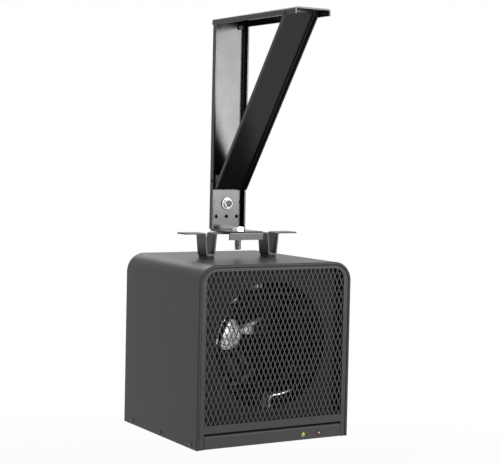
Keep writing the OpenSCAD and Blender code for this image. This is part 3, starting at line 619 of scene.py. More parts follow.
def galvanised(name, base, roughness):
    """Galvanised sheet with its spangle of zinc crystals."""
    sheet = Finish(name, base, roughness, metallic=1.0)
    sheet.soft_edges(0.4 * MM)
    crystals = sheet.cells(9 * MM, "Color")
    spangle = sheet.node("ShaderNodeRGBToBW", {"Color": crystals}).outputs["Val"]
    sheet.tint(sheet.ranged(spangle, 0, 1, 0.2, 0.9), shade(base, 1.35))
    sheet.rough(spangle, roughness - 0.08, roughness + 0.12, 0.1, 0.9)
    sheet.bump(sheet.noise(0.8 * MM, 2), 0.01 * MM, 0.4)
    return sheet.material


def spun(name, base, roughness, centre):
    """Bright pressed sheet, polished in rings round the fan axis."""
    sheet = Finish(name, base, roughness, metallic=1.0)
    sheet.soft_edges(0.4 * MM)
    feeds = {"W": sheet.away(centre, (1, 0, 1)), "Scale": 2600, "Detail": 3}
    rings = sheet.node("ShaderNodeTexNoise", feeds, noise_dimensions="1D").outputs["Fac"]
    sheet.tint(sheet.ranged(rings, 0, 0.6, 0.4, 0.7), shade(base, 0.72))
    sheet.tint(sheet.clouds(16 * MM, 3, 0.5, 0.8, 0.5), shade(base, 0.6))
    sheet.rough(rings, roughness - 0.05, roughness + 0.12)
    sheet.bump(rings, 0.02 * MM, 0.5)
    return sheet.material


def painted_shade_blade_sheet(name, base, roughness, centre):
    """Blade sheet painted almost black as painted shade, but for a bright highlight band on each
    blade.
    """
    sheet = Finish(name, base, roughness, metallic=1.0)
    sheet.soft_edges(0.4 * MM)
    parts = sheet.node("ShaderNodeSeparateXYZ", {"Vector": sheet.place(centre=centre)}).outputs
    turn = maths(sheet.tree, "ARCTAN2", parts["Z"], parts["X"])
    turn = maths(sheet.tree, "ADD", turn, math.radians(360 - HIGHLIGHT_BAND_START))
    turn = maths(sheet.tree, "MODULO", turn, math.radians(360 / BLADES))
    end = math.radians(HIGHLIGHT_BAND_WIDTH)
    # Painted shade: outside the highlight band a blade is darkened to almost black and made rough.
    painted_shade = sheet.ranged(turn, 0, 1, end * 0.8, end)
    sheet.tint(painted_shade, shade(base, 0.03))
    sheet.tint(sheet.clouds(9 * MM, 3, 0.45, 0.7, 0.6), shade(base, 0.75), "MULTIPLY")
    sheet.drive("Roughness", sheet.ranged(painted_shade, roughness, 0.62))
    sheet.bump(sheet.noise(4 * MM, 2), 0.03 * MM, 0.4)
    return sheet.material


def tempered_with_painted_highlight(name, base, highlight_colour, highlight_patch_at, reach):
    """Heating tube, oxidised where it glows, with a clean bright patch painted round one lead: a
    painted highlight.
    """
    tube = Finish(name, base, 0.5, metallic=1.0)
    red, green, blue = base
    tube.tint(tube.clouds(38 * MM, 3, 0.42, 0.6), (red * 1.2, green * 1.1, blue))
    # Painted highlight: near this point the tube is bright and smooth.
    painted_highlight = tube.ranged(tube.away(highlight_patch_at), 1, 0, reach * 0.5, reach)
    tube.tint(painted_highlight, highlight_colour)
    tube.drive("Roughness", tube.ranged(painted_highlight, 0.5, 0.22))
    tube.bump(tube.noise(0.6 * MM, 2), 0.015 * MM, 0.5)
    return tube.material


def moulded(name, base, roughness, grain=0.5 * MM, **more):
    """Moulded plastic, rubber or ceramic, or matt paint, with a fine grain."""
    body = Finish(name, base, roughness, **more)
    body.soft_edges(0.5 * MM)
    body.tint(body.clouds(18 * MM, 3, 0.35, 0.7), shade(base, 0.86))
    body.rough(body.noise(4 * MM, 3), roughness - 0.05, roughness + 0.08)
    body.bump(body.noise(grain, 2), 0.02 * MM, 0.5)
    return body.material


def circuit_board(name):
    """Green solder mask with lighter copper runs under it."""
    board = Finish(name, (0.02, 0.11, 0.05), 0.35)
    feeds = {"Vector": board.place(turn=(QUARTER_TURN, 0, 0)), "Scale": 260, "Mortar Size": 0.03}
    feeds.update(Color1=(0, 0, 0, 1), Color2=(0.15, 0.15, 0.15, 1), Mortar=(1, 1, 1, 1))
    runs = board.node("ShaderNodeTexBrick", feeds)
    board.tint(runs.outputs["Color"], (0.05, 0.22, 0.09))
    board.bump(board.noise(1.2 * MM, 2), 0.01 * MM, 0.4)
    return board.material


def tinted_lens(name, base, glow):
    """Tinted indicator lens with a ribbed inside, lit faintly from behind."""
    clear = {"Transmission_Weight": 0.35, "IOR": 1.49, "Coat_Weight": 0.5}
    light = {"Emission_Strength": glow, "Emission_Color": (*base, 1)}
    lens = Finish(name, base, 0.16, **clear, **light)
    lens.tint(lens.clouds(2.2 * MM, 1, 0.4, 0.65), shade(base, 0.62))
    lens.rough(lens.noise(1.5 * MM, 2), 0.12, 0.22)
    lens.bump(lens.cells(1.3 * MM, "Distance"), 0.05 * MM, 0.4)
    return lens.material


# ---- CAD nodes -----------------------------------------------------------------


# Painted highlight on the outer heating tube, a clean bright patch round one lead: its distance
# to the right of the middle, and its reach
HIGHLIGHT_PATCH_SHIFT, HIGHLIGHT_PATCH_REACH = 30 * MM, 42 * MM


class HEATER_OT_bracket(bpy.types.Operator):
    """Paints the hanging bracket and the yoke"""

    bl_idname = "heater.bracket"
    bl_label = "Paint Hanging Bracket"

    def execute(self, context):
        paints = context.scene.heater_paints
        black = gloss_paint("Bracket Paint", paints.bracket, paints.bracket_roughness)
        dress(black, "mast_channel", "ceiling_arm", "brace_channel", "foot_bracket", "brace_rivets")
        dress(gloss_paint("Yoke Paint", paints.yoke, paints.bracket_roughness + 0.08), "yoke_strap")
        dress(gloss_paint("Screw Paint", paints.bracket, 0.48), "arm_screws")
        dress(moulded("Pad Rubber", grey(0.018), 0.7, specular=0.35), "yoke_pads")
        # Painted shade: the near-black seal fills the groove under the bezel to stand for its
        # shade.
        dress(moulded("Seal Sponge", grey(0.004), 0.9, specular=0.1), "strip_seal")
        dress(moulded("Rivet Black", grey(0.004), 0.6, specular=0.2), "foot_rivets")
        sheet = context.scene.heater_metals.galvanised
        dress(galvanised("Doubler Sheet", sheet, 0.42), "yoke_doubler")
        return {"FINISHED"}


class HEATER_OT_casing(bpy.types.Operator):
    """Powder coats the casing, the bezel, the control strip and the rear"""

    bl_idname = "heater.casing"
    bl_label = "Coat Casing"

    def execute(self, context):
        paints = context.scene.heater_paints
        coat = powder_coat("Casing Powder Coat", paints.casing, paints.casing_roughness)
        dress(coat, "casing", "base_pan", "rear_panel", "front_bezel", "control_strip")
        dress(powder_coat("Guard Wire Coat", paints.bracket, 0.4), "intake_guard")
        return {"FINISHED"}


class HEATER_OT_heating(bpy.types.Operator):
    """Finishes the baffle, the heating rings and what holds them"""

    bl_idname = "heater.heating"
    bl_label = "Finish Heating Parts"

    def execute(self, context):
        paints, metals = context.scene.heater_paints, context.scene.heater_metals
        inner = powder_coat("Inner Sheet Paint", paints.inner, 0.6, specular=0.15)
        dress(inner, "baffle_plate", "fan_shroud")
        # The outer ring's lower right carries a painted highlight.
        low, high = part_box("element_outer")
        ring = (high.x - low.x) / 2
        highlight_patch_at = ((low.x + high.x) / 2 + HIGHLIGHT_PATCH_SHIFT, low.y, AXIS_Z - ring)
        sheath = tempered_with_painted_highlight("Element Sheath", metals.element, metals.galvanised, highlight_patch_at, HIGHLIGHT_PATCH_REACH)
        dress(sheath, "element_outer", "element_inner")
        sheet = galvanised("Galvanised Sheet", metals.galvanised, 0.38)
        dress(sheet, "motor_bracket", "wiring_cover")
        # The element clips are a dark grey galvanised sheet.
        dress(galvanised("Heat-Dulled Sheet", grey(0.05), 0.6), "element_clips")
        ceramic = moulded("Bushing Ceramic", (0.72, 0.70, 0.64), 0.55, grain=0.8 * MM)
        dress(ceramic, "element_bushings")
        return {"FINISHED"}


class HEATER_OT_wiring(bpy.types.Operator):
    """Finishes the electrical parts and the controls at the back"""

    bl_idname = "heater.wiring"
    bl_label = "Finish Wiring Parts"

    def execute(self, context):
        cream = moulded("Cream Phenolic", (0.62, 0.58, 0.48), 0.45)
        dress(cream, "terminal_block", "thermostat_body")
        black = moulded("Black Nylon", (0.014, 0.014, 0.015), 0.42)
        dress(black, "power_relay", "cable_gland", "gland_nut", "thermostat_knob")
        dress(circuit_board("Board Solder Mask"), "control_board")
        return {"FINISHED"}


# ---- Fan -----------------------------------------------------------------------


# Place of the first blade, in degrees anticlockwise from the right side, and the quads
# across and along a blade
FIRST_BLADE = -90
BLADE_COLUMNS, BLADE_ROWS = 12, 8
# Distance of a blade's root from the hub, share of the CAD blades' depth that a blade
# takes, and the share of its length that leans forward
BLADE_GAP, BLADE_DEPTH, RAKE_END = 0.9 * MM, 0.9, 0.6
# Sides of the hub's round pieces
HUB_SIDES = 64
# Outline of the drawn cap: (radius on a hub of radius CAP_HUB, height) in mm, and how far
# its rim reaches over the hub
CAP_HUB, CAP_LAP = 29, 3 * MM
CAP_PROFILE = [(25.5, 0), (26.5, 17), (29.5, 18.4), (30.4, 19.6), (30.4, 20.8), (29.4, 21.8)]
CAP_PROFILE += [(27.0, 22.0), (25.3, 20.9), (22.6, 20.9), (20.9, 22.1), (16.2, 22.4)]
CAP_PROFILE += [(14.6, 21.2), (12.4, 21.2), (11.0, 22.7), (5.0, 23.3), (0.6, 23.4)]
# Wall and length of the collar that carries the blades, and its distance from the hub's back
COLLAR_WALL, COLLAR_LENGTH, COLLAR_START = 1.65 * MM, 9 * MM, 11 * MM
# Sockets on the thermal cut-out: size, rounding, place from the middle of the cut-out's
# front, and how the blades under them are bent
SOCKET_SIZE, SOCKET_EDGE = (4.6 * MM, 8 * MM, 8 * MM), 0.7 * MM
SOCKET_SIDE, SOCKET_DEPTH = 5 * MM, 4 * MM
SOCKET_TURNS = (math.radians(5), 0, math.radians(-26))


class HEATER_OT_fan(bpy.types.Operator):
    """Models the pressed fan wheel and finishes the hub, shaft and motor"""

    bl_idname = "heater.fan"
    bl_label = "Model Fan"

    def blade(self, settings):
        """One pitched, cambered and swept blade to the right of the origin, with its axis on Y."""
        low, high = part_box("fan_blades")
        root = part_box("fan_hub")[1].x + BLADE_GAP
        size = (high.z - low.z) / 2 - root
        depth, half = (high.y - low.y) * BLADE_DEPTH, settings.blade_half
        centre = (root + size / 2, 0, -size / 2)
        nothing_selected()
        bpy.ops.mesh.primitive_plane_add(size=size, location=centre)
        piece = named("blade")
        bpy.ops.object.transform_apply(location=True)
        edit(piece, "SELECT")
        bpy.ops.transform.rotate(value=QUARTER_TURN, orient_axis="X", center_override=centre)
        pick(piece, "verts", lambda at, vertex: at.z < -size / 2)
        bpy.ops.mesh.delete(type="VERT")
        bpy.ops.mesh.select_all(action="SELECT")
        bpy.ops.mesh.subdivide(number_cuts=BLADE_ROWS - 1)
        bpy.ops.mesh.spin(steps=BLADE_COLUMNS, angle=2 * half, center=ORIGIN, axis=BACK)
        done()
        about_fan_axis(piece, -half)

        def turn_of(at):
            return math.atan2(at.z, at.x)

        def across(at):
            return (turn_of(at) + half) / (2 * half)

        def along(at):
            return (math.hypot(at.x, at.z) - root) / size

        edit(piece)
        for column in range(BLADE_COLUMNS + 1):
            part = column / BLADE_COLUMNS
            pick(piece, "verts", lambda at, v: abs(across(at) - part) < 0.4 / BLADE_COLUMNS)
            camber = settings.camber * (1 - (2 * part - 1) ** 2)
            bpy.ops.transform.translate(value=(0, (part - 0.5) * depth + camber, 0))
        for row in range(1, BLADE_ROWS + 1):
            part = row / BLADE_ROWS
            pick(piece, "verts", lambda at, v: along(at) > part - 0.5 / BLADE_ROWS)
            turn = settings.sweep * (part**2 - (part - 1 / BLADE_ROWS) ** 2)
            bpy.ops.transform.rotate(value=turn, orient_axis="Y", center_override=ORIGIN)
            if part < RAKE_END:
                bpy.ops.transform.translate(value=(0, -settings.rake * size / BLADE_ROWS, 0))

        def tip_corner(at, vertex):
            return along(at) > 0.99 and abs(turn_of(at) - settings.sweep) > half * 0.96

        pick(piece, "verts", tip_corner)
        bpy.ops.mesh.bevel(affect="VERTICES", offset=settings.tip_round, segments=4)
        done()
        return apply_modifier(piece, "SOLIDIFY", thickness=settings.sheet, offset=0)

    def collar(self):
        """The ring that carries the blades on the hub."""
        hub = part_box("fan_hub")[1]
        outer = hub.x + COLLAR_WALL
        ring = turned("collar", [(outer, 0), (outer, COLLAR_LENGTH)], HUB_SIDES)
        drilled(ring, hub.x + 0.05 * MM, COLLAR_LENGTH, HUB_SIDES)
        return put(ring, (0, hub.y - COLLAR_START, 0), BACK)

    def wheel(self, settings, sheet):
        """The blades round their collar."""
        blade = self.blade(settings)
        blades = []
        for i in range(BLADES):
            turn = math.radians(FIRST_BLADE + i * 360 / BLADES)
            blades.append(about_fan_axis(copied(blade, "blade"), turn))
        bpy.data.meshes.remove(blade.data)
        centre = middle("fan_blades").y
        blades = [moved(piece, (0, centre, 0)) for piece in blades]
        wheel = joined("fan_wheel", blades + [self.collar()])
        moved(wheel, (0, 0, AXIS_Z))
        finished(wheel, "fan", sheet, 40, ["fan_blades"])

    def cap(self, sheet):
        """The drawn cap on the front of the hub, with its pressed rings."""
        low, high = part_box("fan_hub")
        scale = high.x / CAP_HUB
        cap = turned("hub_cap", [(r * scale, z * MM) for r, z in CAP_PROFILE], HUB_SIDES)
        put(cap, (0, low.y + CAP_LAP, AXIS_Z), FRONT)
        finished(cap, "fan", sheet, 30)

    def sockets(self):
        """Tinned sockets pushed on the two blades of the thermal cut-out."""
        low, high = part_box("thermal_cutout")
        pieces = []
        for side in (-1, 1):
            socket = opened_box("socket", SOCKET_SIZE)
            pick(socket, "edges", lambda at, edge: True)
            bpy.ops.mesh.bevel(offset=SOCKET_EDGE, segments=2)
            done()
            rotated(socket, SOCKET_TURNS)
            across = (low.x + high.x) / 2 + side * SOCKET_SIDE
            pieces.append(moved(socket, (across, low.y + SOCKET_DEPTH, (low.z + high.z) / 2)))
        tin = plated("Socket Tin", (0.94, 0.94, 0.92), 0.14)
        finished(joined("switch_sockets", pieces), "heater", tin, 40)

    def execute(self, context):
        bright = context.scene.heater_metals.fan
        hub = spun("Spun Hub Sheet", bright, 0.3, (0, 0, AXIS_Z))
        dress(hub, "fan_hub")
        self.cap(hub)
        # The blades carry painted shade outside a bright highlight band.
        blade_painted_shade = painted_shade_blade_sheet("Rolled Blade Sheet", bright, 0.2, (0, 0, AXIS_Z))
        self.wheel(context.scene.heater_fan, blade_painted_shade)
        dress(plated("Ground Shaft", grey(0.6), 0.22), "motor_shaft")
        dress(moulded("Motor Lacquer", (0.16, 0.16, 0.17), 0.4), "fan_motor")
        dress(plated("Switch Can", (0.7, 0.7, 0.68), 0.3), "thermal_cutout")
        self.sockets()
        return {"FINISHED"}


# ---- Indicator lamps -----------------------------------------------------------


# Outline of a lamp's rim: (distance from its bore in mm, share of its height)
RIM_HEIGHT = 0.9 * MM
RIM_PROFILE = ((0.95, 0), (0.95, 0.35), (0.75, 0.75), (0.35, 1), (0.02, 1))


class HEATER_OT_lamps(bpy.types.Operator):
    """Gives the two indicator lenses their tint and a dark rim each"""

    bl_idname = "heater.lamps"
    bl_label = "Finish Indicator Lamps"

    def execute(self, context):
        dress(tinted_lens("Amber Lens", (0.42, 0.45, 0.10), 0.10), "lens_amber")
        dress(tinted_lens("Red Lens", (0.20, 0.015, 0.03), 0.03), "lens_red")
        black = moulded("Lamp Bezel Nylon", (0.012, 0.012, 0.013), 0.35)
        for lens in ("lens_amber", "lens_red"):
            low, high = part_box(lens)
            radius = (high.z - low.z) / 2
            start = radius + 0.15 * MM
            profile = [(start + out * MM, up * RIM_HEIGHT) for out, up in RIM_PROFILE]
            rim = turned(lens.replace("lens", "rim"), profile, 40)
            drilled(rim, radius + 0.1 * MM, MM, 40)
            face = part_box("control_strip")[0].y
            put(rim, ((low.x + high.x) / 2, face, (low.z + high.z) / 2), FRONT)
            finished(rim, "heater", black, 50)
        return {"FINISHED"}


# ---- Front mesh ----------------------------------------------------------------


# What the bezel covers of the mesh at the sides and top and at the foot, how far the mesh
# reaches under it, and how far the mesh lies behind the middle of the CAD sheet
SIDE_RIM, FOOT_RIM, UNDER_RIM, SET_BACK = 3 * MM, 8 * MM, 2.4 * MM, 0.15 * MM
# Directions in degrees of the cuts that round an upper corner of the mesh
CORNER_CUTS = (22.5, 45, 67.5)


class HEATER_OT_front_mesh(bpy.types.Operator):
    """Models the expanded metal of the front, with leaning, rounded strands"""

    bl_idname = "heater.front_mesh"
    bl_label = "Model Front Mesh"

    def cell(self, settings):
        """One diamond on the origin, open at its outer edges, where it meets its neighbours."""
        across, up, sheet = settings.pitch / 2, settings.rise / 2, settings.sheet
        to_strand = across * up / math.hypot(across, up)
        hole = 1 - settings.strand / 2 / to_strand
        near_hole = (1 + 3 * hole) / 4

        def reach(place):
            return abs(place.x) / across + abs(place.z) / up

        nothing_selected()
        bpy.ops.mesh.primitive_circle_add(vertices=4, radius=1, fill_type="NGON")
        piece = named("mesh_cell")
        edit(piece, "SELECT")
        bpy.ops.transform.rotate(value=QUARTER_TURN, orient_axis="X", center_override=ORIGIN)
        bpy.ops.transform.resize(value=(across, 1, up), center_override=ORIGIN)
        bpy.ops.mesh.inset(thickness=settings.strand / 2)
        bpy.ops.mesh.delete(type="ONLY_FACE")
        done()
        apply_modifier(piece, "SOLIDIFY", thickness=sheet, offset=0, use_rim=False)
        edit(piece)
        pick(piece, "edges", lambda at, edge: reach(at) < near_hole)
        bpy.ops.mesh.bridge_edge_loops()
        pick(piece, "edges", lambda at, edge: reach(at) < near_hole and abs(at.y) > sheet / 3)
        bpy.ops.mesh.bevel(offset=settings.rounding, segments=2, affect="EDGES")
        inside = (1 + hole) / 2
        for side in (1, -1):
            pick(piece, "verts", lambda at, v: reach(at) < inside and at.z * side > 0.01 * MM)
            bpy.ops.transform.translate(value=(0, side * settings.slant, 0))
        done()
        return piece

    def execute(self, context):
        settings = context.scene.heater_mesh
        low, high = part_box("front_grille")
        half, top, foot = high.x - SIDE_RIM, high.z - SIDE_RIM, low.z + FOOT_RIM
        columns = math.ceil((half + UNDER_RIM) / settings.pitch)
        rows = math.ceil((top + UNDER_RIM - foot) / settings.rise) + 2
        piece = repeated(self.cell(settings), rows, (0, 0, settings.rise))
        between = moved(copied(piece, "mesh_between"), (settings.pitch / 2, 0, settings.rise / 2))
        piece = joined("front_mesh", [piece, between])
        repeated(piece, 2 * columns + 1, (settings.pitch, 0, 0))
        depth = (low.y + high.y) / 2 + SET_BACK
        moved(piece, (-columns * settings.pitch, depth, foot - settings.rise))
        edit(piece, "SELECT")
        bpy.ops.mesh.remove_doubles(threshold=0.01 * MM)
        done()
        cut_off(piece, (0, 0, foot - UNDER_RIM), -UP)
        cut_off(piece, (0, 0, top + UNDER_RIM), UP)
        for side in (1, -1):
            cut_off(piece, (side * (half + UNDER_RIM), 0, 0), RIGHT * side)
            centre = Vector((side * (half - settings.corner), 0, top - settings.corner))
            for degrees in CORNER_CUTS:
                turn = math.radians(degrees)
                normal = Vector((side * math.cos(turn), 0, math.sin(turn)))
                cut_off(piece, centre + normal * (settings.corner + UNDER_RIM), normal)
        edit(piece, "SELECT")
        bpy.ops.mesh.normals_make_consistent(inside=False)
        done()
        coat = powder_coat("Mesh Coat", context.scene.heater_paints.mesh, 0.34, relief=0.02 * MM)
        finished(piece, "heater", coat, 40, ["front_grille"])
        return {"FINISHED"}


# ---- Welds and fasteners -------------------------------------------------------


# Half the angle between two corners of a hexagon
HALF_CORNER = math.radians(30)
# Play of a nut and of a washer round its bolt, and the washers' outer radii
NUT_PLAY, WASHER_PLAY = 0.05 * MM, 0.25 * MM
PIVOT_WASHER, MAST_WASHER = 14 * MM, 12.5 * MM
# Thread radius, width across flats, head height and depth of the head's dish
PIVOT_BOLT = (7 * MM, 22 * MM, 8 * MM, 0.5 * MM)
MAST_BOLT = (5 * MM, 17 * MM, 6.4 * MM, 1.1 * MM)
# Radius of the mast bolt head's middle, painted matt grey as painted shade in its dish
PAINTED_SHADE_RADIUS = 8.1 * MM
# Thickness of the bracket's sheet
SHEET = 3 * MM
# A weld bead's radius, ripple, distance from the mast's flange, and lower end below the
# ceiling, just past the arm's flanges
WELD_RADIUS, WELD_RIPPLE, WELD_SET_IN, WELD_FOOT = 2.6 * MM, 1.8 * MM, 1.9 * MM, 13.6 * MM
# Thread diameter and grip of the pan-head screws, and the yoke screws' thread diameter,
# head height and grip
EDGE_SCREW, REAR_SCREW = (4 * MM, 9 * MM), (4 * MM, 8 * MM)
YOKE_SCREW = (6 * MM, 3.3 * MM, 18.7 * MM)
# Outlines of the screw heads: shares of the thread's diameter for the pan head, and of
# the head's radius and height for the button head
PAN_HEAD = ((0.95, 0), (0.95, 0.28), (0.91, 0.37), (0.78, 0.49), (0.55, 0.57), (0.3, 0.6))
BUTTON_HEAD = ((1, 0), (1, 0.35), (0.93, 0.62), (0.76, 0.85), (0.5, 1))
# Length and width of the hollow's bars, as shares of its nominal width
BAR_LENGTH, BAR_WIDTH = 1.085, 0.31
# Angle at which the first screw of a set stopped, and how much further each next one did
FIRST_STOP, NEXT_STOP = 0.4, 0.9


def thread(radius, start, end, pitch):
    """Profile of a threaded length, in rings from start to end: (radius, height) points."""
    turns = int((end - start) / pitch)
    step = (end - start) / turns
    core = radius * 0.9
    points = []
    for i in range(turns):
        foot = start + i * step
        points += [(core, foot + 0.12 * step), (radius, foot + 0.5 * step)]
    return points + [(core, end - 0.02 * step)]


def hexagon(name, across, height, sides, both_ends=False):
    """A hexagon of a bolt or nut on +Z, with its corners turned off at its ends."""
    reach = across / math.sqrt(3)
    block = turned(name, [(reach, 0), (reach, height)], 6)
    flat, wide = across / 2 * 0.97, reach * 1.01
    drop = (reach - flat) * 0.62
    foot = [(flat, 0), (wide, drop)] if both_ends else [(wide, -MM)]
    cone = turned("cone", foot + [(wide, height - drop), (flat, height)], sides)
    return carve(block, cone, "INTERSECT")


def nut_piece(name, across, height, bore, sides):
    """A nut on +Z, standing on the origin, with both ends countersunk."""
    block = hexagon(name, across, height, sides, both_ends=True)
    return bored(block, bore, height, 0.7 * MM, sides)


def washer_piece(name, outer, height, bore, sides):
    """A washer on +Z with a rounded upper edge."""
    edge = height * 0.3
    profile = [(outer - edge * 0.4, 0), (outer, edge * 0.5), (outer, height - edge)]
    profile += [(outer - edge * 0.35, height - edge * 0.3), (outer - edge, height)]
    return bored(turned(name, profile, sides), bore, height, 0.3 * MM, sides)


class HEATER_OT_welds(bpy.types.Operator):
    """Models the weld beads that close the corners between the arm and the mast"""

    bl_idname = "heater.welds"
    bl_label = "Model Corner Welds"

    def execute(self, context):
        mast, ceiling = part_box("mast_channel")[1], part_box("ceiling_arm")[1].z
        height = WELD_FOOT - SHEET
        profile = [(WELD_RADIUS * 0.5, 0), (WELD_RADIUS * 0.9, 0.6 * MM)]
        profile += thread(WELD_RADIUS, MM, height - MM, WELD_RIPPLE)
        profile += [(WELD_RADIUS * 0.5, height)]
        beads = []
        for side in (-1, 1):
            across = side * (mast.x - SHEET - WELD_SET_IN)
            foot = (across, mast.y - SHEET / 2, ceiling - WELD_FOOT)
            beads.append(put(turned("bead", profile, 20), foot))
        paint = gloss_paint("Weld Paint", context.scene.heater_paints.bracket, 0.4)
        finished(joined("corner_welds", beads), "bracket", paint, 50)
        return {"FINISHED"}


class HEATER_OT_bolts(bpy.types.Operator):
    """Models the pivot bolt, the mast bolt, their nuts and washers, with threads"""

    bl_idname = "heater.bolts"
    bl_label = "Model Bolts"

    def bolt(self, settings, node, axis, radius, across, head, dish):
        """A hexagon bolt in the box of its CAD node, with its dished head towards axis."""
        sides = settings.sides
        top, total = facing(node, axis)
        grip, chamfer = total - head, radius * 0.15
        piece = hexagon(node + "_detail", across, head, sides)
        crown, trough, brim = across * 0.18, across * 0.32, across * 0.43
        hollow = [(crown, head - dish * 0.5), (trough, head - dish), (brim, head)]
        carve(piece, turned("hollow", hollow + [(brim, head + MM)], sides))
        end = grip * 0.6
        profile = [(radius * 0.82, 0), (radius * 0.92, chamfer)]
        profile += thread(radius, chamfer * 1.1, end, settings.pitch)
        profile += [(radius, end + 0.3 * MM), (radius, grip + 0.5 * MM)]
        carve(piece, moved(turned("shank", profile, sides), (0, 0, -grip)), "UNION")
        return put(piece, top - axis * head, axis, HALF_CORNER)

    def execute(self, context):
        settings, metals = context.scene.heater_fasteners, context.scene.heater_metals
        sides = settings.sides
        zinc = plated("Zinc Plate", metals.zinc, 0.22)
        # The mast bolt's head gets painted shade in its dish.
        painted_shade = dished_head_painted_shade("Dished Head Zinc", metals.zinc, 0.25, middle("mast_bolt"), PAINTED_SHADE_RADIUS)

        def plate(piece, node, material=zinc):
            finished(piece, "bracket", material, 30, [node])

        plate(self.bolt(settings, "pivot_bolt", UP, *PIVOT_BOLT), "pivot_bolt")
        plate(self.bolt(settings, "mast_bolt", FRONT, *MAST_BOLT), "mast_bolt", painted_shade)

        for node, size, axis in (("pivot_nut", PIVOT_BOLT, UP), ("mast_nut", MAST_BOLT, BACK)):
            foot, height = facing(node, -axis)
            nut = nut_piece(node + "_detail", size[1], height, size[0] + NUT_PLAY, sides)
            plate(put(nut, foot, axis, HALF_CORNER), node)
        for node, size, outer, axis in (
            ("pivot_washer", PIVOT_BOLT, PIVOT_WASHER, UP),
            ("mast_washer", MAST_BOLT, MAST_WASHER, FRONT),
        ):
            foot, height = facing(node, -axis)
            ring = washer_piece(node + "_detail", outer, height, size[0] + WASHER_PLAY, sides)
            plate(put(ring, foot, axis), node)
        dress(zinc, "yoke_nuts", "hub_nut")
        return {"FINISHED"}


class HEATER_OT_screws(bpy.types.Operator):
    """Models the pan-head screws and the yoke's button-head socket screws"""

    bl_idname = "heater.screws"
    bl_label = "Model Screws"

    def crossed_bars(self, width, depth):
        """Two crossed bars, which hollow a pan head from below without reaching its top."""
        bars = []
        for name, turn in (("bar", 0), ("second_bar", QUARTER_TURN)):
            bar = opened_box(name, (width * BAR_LENGTH, width * BAR_WIDTH, depth * 2))
            done()
            bars.append(rotated(bar, (0, 0, turn)))
        return carve(bars[0], bars[1], "UNION")

    def pan_screw(self, settings, size, grip):
        """A pan-head screw on +Z for a thread diameter: its head stands on the origin."""
        profile = [(r * size, z * size) for r, z in PAN_HEAD]
        piece = turned("pan_screw", profile, settings.sides)
        carve(piece, self.crossed_bars(settings.hollow, size * 0.36))
        profile = [(size * 0.3, 0), (size * 0.46, size * 0.3)]
        profile += thread(size * 0.5, size * 0.35, grip, settings.pitch * 0.45)
        profile += [(size * 0.45, grip + 0.2 * MM)]
        return carve(piece, moved(turned("shank", profile, 20), (0, 0, -grip)), "UNION")

    def button_screw(self, settings, size, head, grip):
        """A button-head screw on +Z with a hexagon socket."""
        wide, socket = size * 0.83, 2.2 * MM
        profile = [(r * wide, z * head) for r, z in BUTTON_HEAD]
        piece = turned("button_screw", profile, settings.sides)
        carve(piece, turned("socket", [(socket, head * 0.5), (socket, head * 1.5)], 6))
        shank = turned("shank", [(size / 2, -grip), (size / 2, 0.2 * MM)], 24)
        return carve(piece, shank, "UNION")

    def set_of(self, node, screw, head, towards, black):
        """Copies of one screw at each solid of a node, their heads towards a direction."""
        pieces = []
        for low, high in islands(node):
            centre = (low + high) / 2
            axis = towards(centre)
            place = centre + axis * (abs((high - low).dot(axis)) / 2 - head)
            stop = FIRST_STOP + NEXT_STOP * len(pieces)
            pieces.append(put(copied(screw, "screw"), place, axis, stop))
        bpy.data.meshes.remove(screw.data)
        finished(joined(node + "_detail", pieces), "heater", black, 35, [node])

    def execute(self, context):
        settings = context.scene.heater_fasteners
        black = plated("Black Oxide", (0.10, 0.10, 0.102), 0.36)

        def outwards(centre):
            return RIGHT if centre.x > 0 else LEFT

        pan_screws = (
            ("edge_screws", EDGE_SCREW, outwards),
            ("rear_screws", REAR_SCREW, lambda centre: BACK),
        )
        for node, size, towards in pan_screws:
            height = size[0] * PAN_HEAD[-1][1]
            self.set_of(node, self.pan_screw(settings, *size), height, towards, black)
        screw = self.button_screw(settings, *YOKE_SCREW)
        self.set_of("yoke_screws", screw, YOKE_SCREW[1], lambda centre: UP, black)
        zinc = shade(context.scene.heater_metals.zinc, 0.8)
        dress(plated("Screw Zinc", zinc, 0.3), "motor_screws")
        return {"FINISHED"}


# ---- Stage ---------------------------------------------------------------------


# The camera, from the corners of the casing in the photograph. Angles are in radians.
CAMERA_AT = Vector((-1.3848, -2.3940, -0.2676))
CAMERA_TURN = math.radians(-30.534)
CAMERA_PITCH = -0.04439
CAMERA_ROLL = 0.02168
FOCAL_PIXELS = 1364.015
PICTURE_WIDTH = 500
SENSOR = 36.0
SHIFT_DOWN = -0.04
# The floor's size, and its white for the camera, which grows with the distance
FLOOR_SIZE = 60
WHITE_NEAR, WHITE_FAR = 1.8, 4.5
LEAST_WHITE = 0.82
# Each light's name, place, aim, and its width and height
LIGHTS = (
    ("key", (1.25, -2.2, -0.1), (0, 0, -0.22), (0.55, 0.9)),
    ("fill", (-2.6, -0.6, -1.4), (0, 0, -0.8), (1.6, 0.7)),
    ("spot", (0.95, -2.3, -0.2), (0, 0, -0.62), (0.22, 0.22)),
    ("rim", (0.4, 2.4, 1.1), (0, 0, -0.5), (1.2, 0.8)),
)


